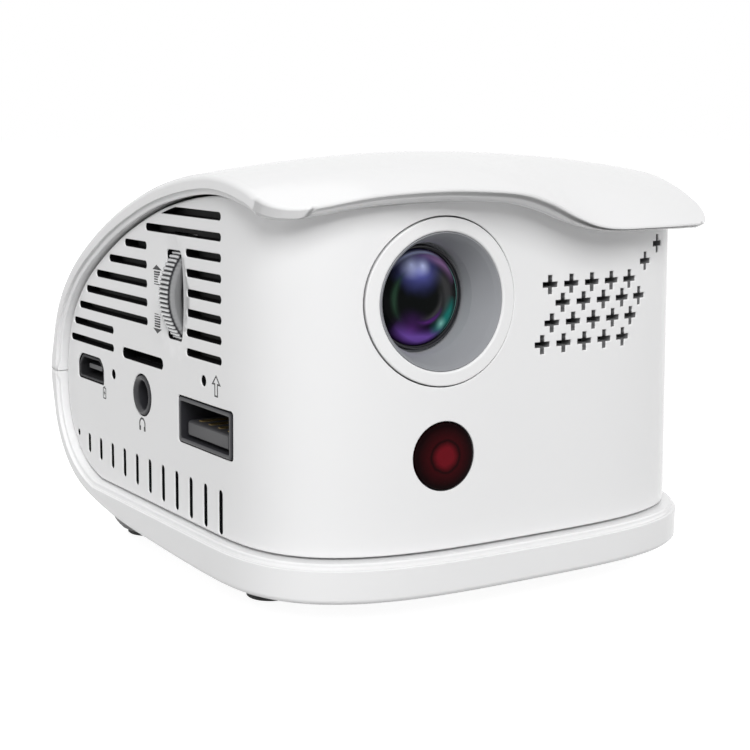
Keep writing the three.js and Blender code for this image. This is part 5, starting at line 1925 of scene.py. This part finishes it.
@dataclass(frozen=True)
class Finish:
    """A surface finish and the values that its groups take."""

    name: str
    colour: Triple
    relief: Relief = Relief.POLISHED
    second: Optional[Triple] = None
    worn: Optional[Triple] = None
    roughness: float = 0.3
    variation: float = 0.06
    metallic: float = 0.0
    coat: float = 0.0
    coat_roughness: float = 0.06
    specular: float = 0.5
    bump: float = 0.02
    bump_distance: float = 0.00001
    grain_scale: float = 2500.0
    ripple: float = 0.4
    wear: float = 0.0
    dust: float = 0.0
    dust_colour: Triple = (0.36, 0.35, 0.33)
    patch_shade: float = 0.97
    track_scale: float = 420.0
    track_step: float = 0.09
    track_grain: float = 0.1
    track_edge: Pair = (0.4, 0.6)
    cell_share: float = 0.8
    patch_range: Pair = (0.3, 0.7)

    def material(self) -> bpy.types.Material:
        """The finish's material, made once."""
        return bpy.data.materials.get(self.name) or self.make()

    def start(self) -> tuple[bpy.types.Material, Nodes, bpy.types.Node]:
        """A new material with its shader's constants set."""
        material = bpy.data.materials.new(self.name)
        material.use_nodes = True
        shader = material.node_tree.nodes["Principled BSDF"]
        for label, value in (("Metallic", self.metallic), ("Roughness", self.roughness), ("Coat Weight", self.coat),
                             ("Coat Roughness", self.coat_roughness), ("Specular IOR Level", self.specular)):
            shader.inputs[label].default_value = value
        return material, Nodes(material.node_tree), shader

    def texture(self, nodes: Nodes, place: Socket) -> tuple[Socket, Socket]:
        """The relief of the surface.

        Args:
            nodes: The material's tree.
            place: Coordinates.

        Returns:
            The relief's height and its patches.
        """
        if self.relief is Relief.BRUSHED:
            node = nodes.use(DRAWN.tree(), place, Line_Scale=self.grain_scale)
        else:
            node = nodes.use(MOULDED.tree(), place, Grain_Scale=self.grain_scale, Ripple=self.ripple)
        height, patches = node.outputs["Height"], node.outputs["Patches"]
        if self.relief is Relief.FOAM:
            height = nodes.maths("ADD", height, nodes.cells(place, self.grain_scale * self.cell_share))
        if self.relief is Relief.BOARD:
            tracks = nodes.noise(place, self.track_scale, 0)
            steps = nodes.maths("SNAP", tracks, self.track_step)
            height = nodes.maths("ADD", steps, nodes.maths("MULTIPLY", height, self.track_grain))
            patches = nodes.spread(tracks, *self.track_edge, 0, 1)
        return height, patches

    def make(self) -> bpy.types.Material:
        """Makes the material."""
        material, nodes, shader = self.start()
        place = nodes.place()
        height, patches = self.texture(nodes, place)
        wear = nodes.use(WORN.tree(), place)
        second = self.second or tuple(c * self.patch_shade for c in self.colour)
        colour = nodes.mix(patches, self.colour, second)
        if self.worn:
            colour = nodes.mix(nodes.maths("MULTIPLY", wear.outputs["Worn"], self.wear), colour, self.worn)
        if self.dust:
            colour = nodes.mix(nodes.maths("MULTIPLY", wear.outputs["Dusty"], self.dust), colour, self.dust_colour)
        nodes.feed(shader.inputs["Base Color"], colour)
        rough = nodes.spread(patches, *self.patch_range, self.roughness - self.variation,
                             self.roughness + self.variation)
        nodes.feed(shader.inputs["Roughness"], rough)
        bump = nodes.add("Bump", "Normal", {"Strength": self.bump, "Distance": self.bump_distance, "Height": height})
        nodes.feed(shader.inputs["Normal"], bump)
        return material

    def dress(self, piece: Piece, *others: "Finish") -> None:
        """Gives a piece this finish, and others for the faces that are numbered for them."""
        if piece.data.materials:
            piece.data.materials.clear()
        for finish in (self, *others):
            piece.data.materials.append(finish.material())


# Colours of the painted reflections on the front glass: coating colours, painted highlights and dark arcs
VIOLET = (0.2, 0.09, 0.46)
BLUE = (0.13, 0.14, 0.5)
SKY = (0.62, 0.68, 1.0)
ROSE = (0.3, 0.17, 0.36)
TEAL = (0.015, 0.22, 0.19)
SPARK = (0.32, 0.7, 0.63)
SMOKE = (0.05, 0.05, 0.052)
PLUM = (0.09, 0.02, 0.17)
MOSS = (0.02, 0.05, 0.03)


@dataclass(frozen=True)
class PaintedReflection:
    """A soft patch of painted reflection in a coating colour, or a painted streak of it along a ring of the glass;
    lengths in the glass's radius.
    """

    colour: Triple
    u: float
    v: float
    size: float
    ring: float = 0.0
    width: float = 0.0


@dataclass(frozen=True)
class LensPaintedReflections(Finish):
    """Dark glass with painted reflections: painted highlights, and coating colours that turn from blue at the top to
    violet and teal below.
    """

    name: str = "lens_painted_reflections"
    colour: Triple = (0.003, 0.004, 0.004)
    roughness: float = 0.05
    specular: float = 0.03
    swirl_scale: float = 260.0
    swirl: float = 0.6
    streak_gain: float = 1.7
    # Painted reflections: coating colours, painted highlights in SKY and SPARK, and dark arcs in SMOKE
    painted_reflections: tuple[PaintedReflection, ...] = (
        PaintedReflection(SMOKE, 0.62, 0.1, 0.8, 0.6, 0.34), PaintedReflection(SMOKE, 0.35, -0.3, 0.5, 0.42, 0.12),
        PaintedReflection(PLUM, -0.3, -0.7, 0.6), PaintedReflection(VIOLET, -0.05, -0.85, 0.72, 0.84, 0.26),
        PaintedReflection(PLUM, 0.2, -0.5, 0.4, 0.5, 0.1), PaintedReflection(TEAL, 0.6, -0.45, 0.5, 0.76, 0.3),
        PaintedReflection(SPARK, 0.47, -0.55, 0.2), PaintedReflection(ROSE, 0.35, 0.75, 0.7, 0.86, 0.2),
        PaintedReflection(BLUE, -0.12, 0.6, 0.68), PaintedReflection(SKY, -0.28, 0.69, 0.34), PaintedReflection(SKY, -0.02, 0.66, 0.24),
        PaintedReflection(SKY, -0.1, 0.95, 0.7, 0.93, 0.06), PaintedReflection(SPARK, 0.9, -0.1, 0.85, 0.94, 0.045),
        PaintedReflection(MOSS, -0.7, 0.1, 0.6, 0.7, 0.12),
    )

    def make(self) -> bpy.types.Material:
        """Makes the material, its painted reflections placed by the direction and distance from the lens axis."""
        material, nodes, shader = self.start()
        place = nodes.place()
        x, _, z = nodes.split(place)
        reach = LENS.glass_radius * MM
        across, high = (nodes.maths("DIVIDE", nodes.maths("SUBTRACT", value, middle * MM), reach)
                        for value, middle in ((x, LENS.x), (z, LENS.z)))
        swirl = nodes.maths("SUBTRACT", nodes.noise(place, self.swirl_scale, 2), 0.5)

        def soft(far: object, size: float) -> Socket:
            """A share that falls smoothly to nought at a distance."""
            near = nodes.spread(far, size, 0, 0, 1)
            return nodes.maths("MULTIPLY", near, near)

        shade: object = self.colour
        for reflection in self.painted_reflections:
            far = nodes.distance(across, reflection.u, high, reflection.v)
            if reflection.ring:
                off = nodes.maths("ABSOLUTE", nodes.maths("SUBTRACT", nodes.distance(across, 0, high, 0), reflection.ring))
                near = nodes.spread(far, reflection.size, 0, 0, self.streak_gain)
                share = nodes.clamp(nodes.maths("MULTIPLY", soft(off, reflection.width), near))
            else:
                share = soft(nodes.maths("ADD", far, nodes.maths("MULTIPLY", swirl, reflection.size * self.swirl)), reflection.size)
            shade = nodes.mix(share, shade, reflection.colour)
        nodes.feed(shader.inputs["Base Color"], shade)
        return material


@dataclass(frozen=True)
class RedWindow(Finish):
    """Dark red filter glass with a painted glow: its middle is painted bright red for the receiver lit behind it,
    inside a dark ring and a faint painted halo.
    """

    name: str = "red_filter_painted_glow"
    colour: Triple = (0.006, 0.0006, 0.001)
    # Colours of the faint painted halo and of the painted glow in the middle
    painted_halo: Triple = (0.035, 0.0015, 0.003)
    middle: Triple = (0.15, 0.006, 0.012)
    roughness: float = 0.12
    specular: float = 0.035
    swirl_scale: float = 900.0
    swirl: float = 0.08
    halo_edge: Pair = (0.6, 0.95)
    ring_edge: Pair = (0.5, 0.58)
    middle_edge: Pair = (0.3, 0.52)

    def make(self) -> bpy.types.Material:
        """Makes the material, painted brighter inside half its radius as a painted glow, with a dark ring about the
        bright part.
        """
        material, nodes, shader = self.start()
        place = nodes.place()
        x, _, z = nodes.split(place)
        far = nodes.maths("DIVIDE", nodes.distance(x, LENS.x * MM, z, WINDOW.z * MM), WINDOW.radius * MM)
        swirl = nodes.maths("MULTIPLY", nodes.noise(place, self.swirl_scale, 2), self.swirl)
        far = nodes.maths("ADD", far, swirl)
        shade: object = self.colour
        for edge, colour in ((self.halo_edge, self.painted_halo), (self.ring_edge, self.colour),
                             (self.middle_edge, self.middle)):
            shade = nodes.mix(nodes.spread(far, *edge, 1, 0), shade, colour)
        nodes.feed(shader.inputs["Base Color"], shade)
        return material


@dataclass(frozen=True)
class OpeningPaintedShade(Finish):
    """Walls of the openings, painted near black in the vents as painted shade, and painted greyer in the speaker holes
    as painted light on walls that look upwards.
    """

    name: str = "opening_painted_shade"
    # Near black painted shade, and painted light on the speaker holes' walls that look upwards
    colour: Triple = (0.006, 0.006, 0.007)
    lit: Triple = (0.22, 0.22, 0.225)
    roughness: float = 0.85
    specular: float = 0.1
    side_y: float = -0.026
    front_y: float = -0.028

    def make(self) -> bpy.types.Material:
        """Makes the material, with painted light at the front wall and painted shade at the sides."""
        material, nodes, shader = self.start()
        _, y, _ = nodes.split(nodes.place())
        front = nodes.spread(y, self.side_y, self.front_y, 0, 1)
        nodes.feed(shader.inputs["Base Color"], nodes.mix(front, self.colour, self.lit))
        return material


@dataclass(frozen=True)
class RibbedSilver(Finish):
    """Silver plastic with painted shade in its grooves and, less of it, on its shoulders; the depths under the ribs'
    tops are in metres.
    """

    name: str = "ribbed_silver"
    colour: Triple = (0.62, 0.625, 0.63)
    # Colour of the painted shade in the grooves
    groove: Triple = (0.035, 0.035, 0.04)
    roughness: float = 0.27
    groove_roughness: float = 0.7
    metallic: float = 0.75
    # Noise that breaks up the edge of the painted shade
    shade_noise_scale: float = 1500.0
    shade_noise: float = 0.00008
    first_dark: float = 0.00006
    shoulder: Pair = (0.00028, 0.00045)
    shoulder_share: float = 0.55

    def make(self) -> bpy.types.Material:
        """Makes the material, with painted shade where the wheel's rim lies below its ribs' tops, and less of it on its
        shoulders.
        """
        material, nodes, shader = self.start()
        place = nodes.place()
        x, _, z = nodes.split(place)
        depth = nodes.maths("SUBTRACT", WHEEL.radius * MM, nodes.distance(x, WHEEL.x * MM, z, WHEEL.z * MM))
        shade_noise = nodes.maths("MULTIPLY", nodes.noise(place, self.shade_noise_scale, 2), self.shade_noise)
        sunk = nodes.spread(nodes.maths("ADD", depth, shade_noise), self.first_dark, WHEEL.rib_depth * MM, 0, 1)
        sunk = nodes.maths("MULTIPLY", sunk, nodes.spread(depth, *self.shoulder, 1, self.shoulder_share))
        nodes.feed(shader.inputs["Base Color"], nodes.mix(sunk, self.colour, self.groove))
        nodes.feed(shader.inputs["Roughness"], nodes.spread(sunk, 0, 1, self.roughness, self.groove_roughness))
        return material


@dataclass(frozen=True)
class PrintInk(Finish):
    """Matt dark grey pad-printed ink."""

    name: str = "print_ink"
    colour: Triple = (0.02, 0.02, 0.022)
    second: Optional[Triple] = (0.035, 0.035, 0.037)
    roughness: float = 0.55
    grain_scale: float = 9000.0


FINISHES: dict[str, Finish] = {finish.name: finish for finish in (
    Finish("white_gloss", (0.83, 0.83, 0.835), roughness=0.24, variation=0.03, coat=0.6, coat_roughness=0.08, bump=0.05,
           grain_scale=1800.0, ripple=0.8, wear=0.25, worn=(0.9, 0.9, 0.9), dust=0.12),
    Finish("grey_plastic", (0.385, 0.39, 0.4), Relief.SPARKED, roughness=0.42, bump=0.25, grain_scale=5200.0,
           wear=0.3, worn=(0.4, 0.41, 0.43), dust=0.1),
    Finish("black_plastic", (0.014, 0.014, 0.015), Relief.SPARKED, roughness=0.4, specular=0.25, bump=0.2,
           grain_scale=5200.0, wear=0.3, worn=(0.08, 0.08, 0.085), dust=0.15),
    Finish("black_foam", (0.012, 0.012, 0.013), Relief.FOAM, second=(0.004, 0.004, 0.004), roughness=0.9, bump=0.9,
           bump_distance=0.0002, grain_scale=2400.0),
    Finish("grey_rubber", (0.45, 0.45, 0.455), Relief.GRAINED, roughness=0.62, bump=0.4, grain_scale=4200.0,
           wear=0.2, worn=(0.6, 0.6, 0.6), dust=0.3),
    Finish("dark_rubber", (0.045, 0.045, 0.047), Relief.GRAINED, roughness=0.75, bump=0.6, bump_distance=0.00003,
           grain_scale=3600.0, dust=0.4),
    Finish("silver_plastic", (0.62, 0.625, 0.63), roughness=0.28, metallic=0.55, bump=0.05, grain_scale=4200.0,
           wear=0.3, worn=(0.8, 0.8, 0.8), dust=0.3),
    Finish("steel", (0.56, 0.57, 0.58), Relief.BRUSHED, roughness=0.28, metallic=1.0, bump=0.2, dust=0.2),
    Finish("brass", (0.7, 0.5, 0.22), Relief.BRUSHED, roughness=0.26, metallic=1.0, bump=0.15),
    Finish("aluminium", (0.68, 0.69, 0.71), Relief.BRUSHED, roughness=0.33, metallic=1.0, bump=0.25, dust=0.2),
    Finish("green_board", (0.015, 0.12, 0.045), Relief.BOARD, second=(0.03, 0.2, 0.08), roughness=0.35, bump=0.3,
           bump_distance=0.00004),
    Finish("yellow_board", (0.55, 0.4, 0.07), Relief.BOARD, second=(0.62, 0.5, 0.12), roughness=0.4, bump=0.2,
           bump_distance=0.00003),
    Finish("cell_wrap", (0.03, 0.11, 0.34), roughness=0.3, second=(0.035, 0.13, 0.4), bump=0.3,
           bump_distance=0.00005, grain_scale=700.0, ripple=1.5),
)}
FINISHES |= {"coated_glass": LensPaintedReflections(), "red_glass": RedWindow()}
# Painted shade and painted light for the walls of the openings
OPENING_SHADE = OpeningPaintedShade()
SPECIAL: dict[str, Finish] = {
    "micro_usb_shell": Finish("socket_steel", (0.025, 0.025, 0.027), Relief.BRUSHED, roughness=0.5, metallic=0.2,
                              specular=0.2, bump=0.2),
    "card_socket": Finish("card_shell", (0.02, 0.02, 0.022), Relief.BRUSHED, roughness=0.5, specular=0.2, bump=0.2),
    "usb_tongue_moulding": Finish("socket_tongue", (0.045, 0.045, 0.048), Relief.SPARKED, roughness=0.5, bump=0.2,
                                  grain_scale=5200.0),
    "focus_wheel_ribbed": RibbedSilver(),
}


@dataclass
class InnerWorks:
    """The CAD nodes that keep their shapes and get finishes and eased edges."""

    edge: float = 0.08
    angle: float = 50.0
    segments: int = 2
    plain: tuple[str, ...] = ("lens_bracket", "focus_ring", "focus_pinion")

    def dress(self) -> None:
        """Dresses each node by the slot that the record gives it."""
        slots = {part["node"]: part["material_slot"] for part in frame["record"]["subparts"]}
        for name, node in frame["nodes"].items():
            if node.hide_render:
                continue
            SPECIAL.get(name, FINISHES[slots[name]]).dress(node)
            if name not in self.plain:
                ease = node.modifiers.new("eased_edges", "BEVEL")
                ease.width = self.edge * MM
                ease.segments = self.segments
                ease.limit_method = "ANGLE"
                ease.angle_limit = math.radians(self.angle)
                ease.harden_normals = True
            log.info("%s wears %s", name, slots[name])


@dataclass(frozen=True)
class Lamp:
    """A soft square lamp: where it hangs, the width of its face, its watts, and whether gloss mirrors it."""

    name: str
    place: Triple
    size: float
    power: float
    mirrored: bool = True

    def hang(self, target: Triple) -> None:
        """Hangs the lamp.

        Args:
            target: The place that it faces.
        """
        light = bpy.data.lights.new(self.name, "AREA")
        light.shape, light.size, light.energy = "SQUARE", self.size, self.power
        lamp = linked(self.name, light)
        lamp.location, lamp.visible_glossy = self.place, self.mirrored
        lamp.rotation_euler = (Vector(target) - Vector(self.place)).to_track_quat("-Z", "Y").to_euler()


@dataclass
class Studio:
    """Floor, world, lamps and camera; lengths in metres and angles in degrees."""

    lamps: tuple[Lamp, ...] = (
        Lamp("key", (-0.34, -0.64, 0.56), 0.45, 5.95, mirrored=False),
        Lamp("fill", (0.85, -0.22, 0.35), 0.6, 1.7),
        Lamp("side", (-0.85, 0.1, 0.3), 0.7, 1.35),
        Lamp("back", (0.2, 0.85, 0.35), 0.7, 2.4, mirrored=False),
        Lamp("top", (0.0, 0.3, 0.8), 0.5, 0.45),
    )
    middle: Triple = (0.0, 0.0, 0.025)
    floor_half: float = 3.0
    floor_grey: float = 0.4
    floor_roughness: float = 0.9
    floor_gloss: float = 0.1
    eye: Triple = (-0.1129, -0.1714, 0.0573)
    yaw: float = -33.27
    pitch: float = 9.44
    roll: float = 0.53
    lens: float = 74.8
    sensor: float = 36.0
    near: float = 0.01
    fill: float = 0.18
    floor_glow: float = 0.9

    def backdrop(self) -> None:
        """Lays the floor, which shows white and keeps the shadow."""
        mesh = bpy.data.meshes.new("studio_floor")
        half = self.floor_half
        mesh.from_pydata([(-half, -half, 0), (half, -half, 0), (half, half, 0), (-half, half, 0)], [], [(0, 1, 2, 3)])
        floor = linked("studio_floor", mesh)
        material = bpy.data.materials.new("floor_white")
        material.use_nodes = True
        nodes = Nodes(material.node_tree)
        shader = material.node_tree.nodes["Principled BSDF"]
        glow = nodes.maths("MULTIPLY", self.seen(nodes), self.floor_glow)
        for label, value in (("Base Color", (self.floor_grey,) * 3), ("Roughness", self.floor_roughness),
                             ("Specular IOR Level", self.floor_gloss), ("Emission Color", (1, 1, 1)),
                             ("Emission Strength", glow)):
            nodes.feed(shader.inputs[label], value)
        mesh.materials.append(material)

    def seen(self, nodes: Nodes) -> bpy.types.NodeSocket:
        """One for rays of the camera, of gloss and through glass."""
        path = nodes.tree.nodes.new("ShaderNodeLightPath")
        both = nodes.maths("MAXIMUM", path.outputs["Is Camera Ray"], path.outputs["Is Glossy Ray"])
        return nodes.maths("MAXIMUM", both, path.outputs["Is Transmission Ray"])

    def world(self) -> None:
        """Makes a world that shows white and lights plainly."""
        world = bpy.data.worlds.new("studio_world")
        bpy.context.scene.world = world
        world.use_nodes = True
        nodes = Nodes(world.node_tree)
        ground = world.node_tree.nodes["Background"]
        ground.inputs["Color"].default_value = (1, 1, 1, 1)
        nodes.feed(ground.inputs["Strength"], nodes.spread(self.seen(nodes), 0, 1, self.fill, 1))

    def camera(self) -> None:
        """Stands the camera where the photograph's stood."""
        data = bpy.data.cameras.new("studio_camera")
        data.lens, data.sensor_width, data.clip_start = self.lens, self.sensor, self.near
        camera = linked("studio_camera", data)
        camera.location = self.eye
        yaw, pitch = math.radians(self.yaw), math.radians(self.pitch)
        forward = Vector((-math.sin(yaw) * math.cos(pitch), math.cos(yaw) * math.cos(pitch), -math.sin(pitch)))
        turn = forward.to_track_quat("-Z", "Y").to_matrix() @ Euler((0, 0, math.radians(self.roll))).to_matrix()
        camera.rotation_euler = turn.to_euler()
        bpy.context.scene.camera = camera

    def build(self) -> None:
        """Sets the whole studio."""
        self.backdrop()
        self.world()
        for lamp in self.lamps:
            lamp.hang(self.middle)
        self.camera()
        bpy.context.scene.view_settings.view_transform = "Standard"


@dataclass
class Projector:
    """The whole object."""

    wall: WallMoulding = field(default_factory=WallMoulding)
    covers: CoverParts = field(default_factory=CoverParts)

    def build(self) -> None:
        """Builds each sub-assembly and dresses it by its slot."""
        casing = [self.covers.top(), self.covers.bottom(), self.wall.build()]
        made = [*casing, LENS.ring(), LENS.shroud(), LENS.barrel(), LENS.glass(), WINDOW.build(), WHEEL.build(),
                POWER.build(), *SOCKETS.build(), *FEET.build(), *SCREWS.build()]
        for piece in made:
            # The wall moulding's openings take painted shade as a second finish
            opening_shades = (OPENING_SHADE,) if piece is casing[-1] else ()
            SPECIAL.get(piece.name, FINISHES[piece["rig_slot"]]).dress(piece, *opening_shades)
        Prints(self.wall).build()
        InnerWorks().dress()


def main() -> None:
    """Builds the projector and its studio."""
    logging.basicConfig(level=logging.INFO, format="%(message)s")
    Projector().build()
    Studio().build()


if __name__ == "__main__":
    main()
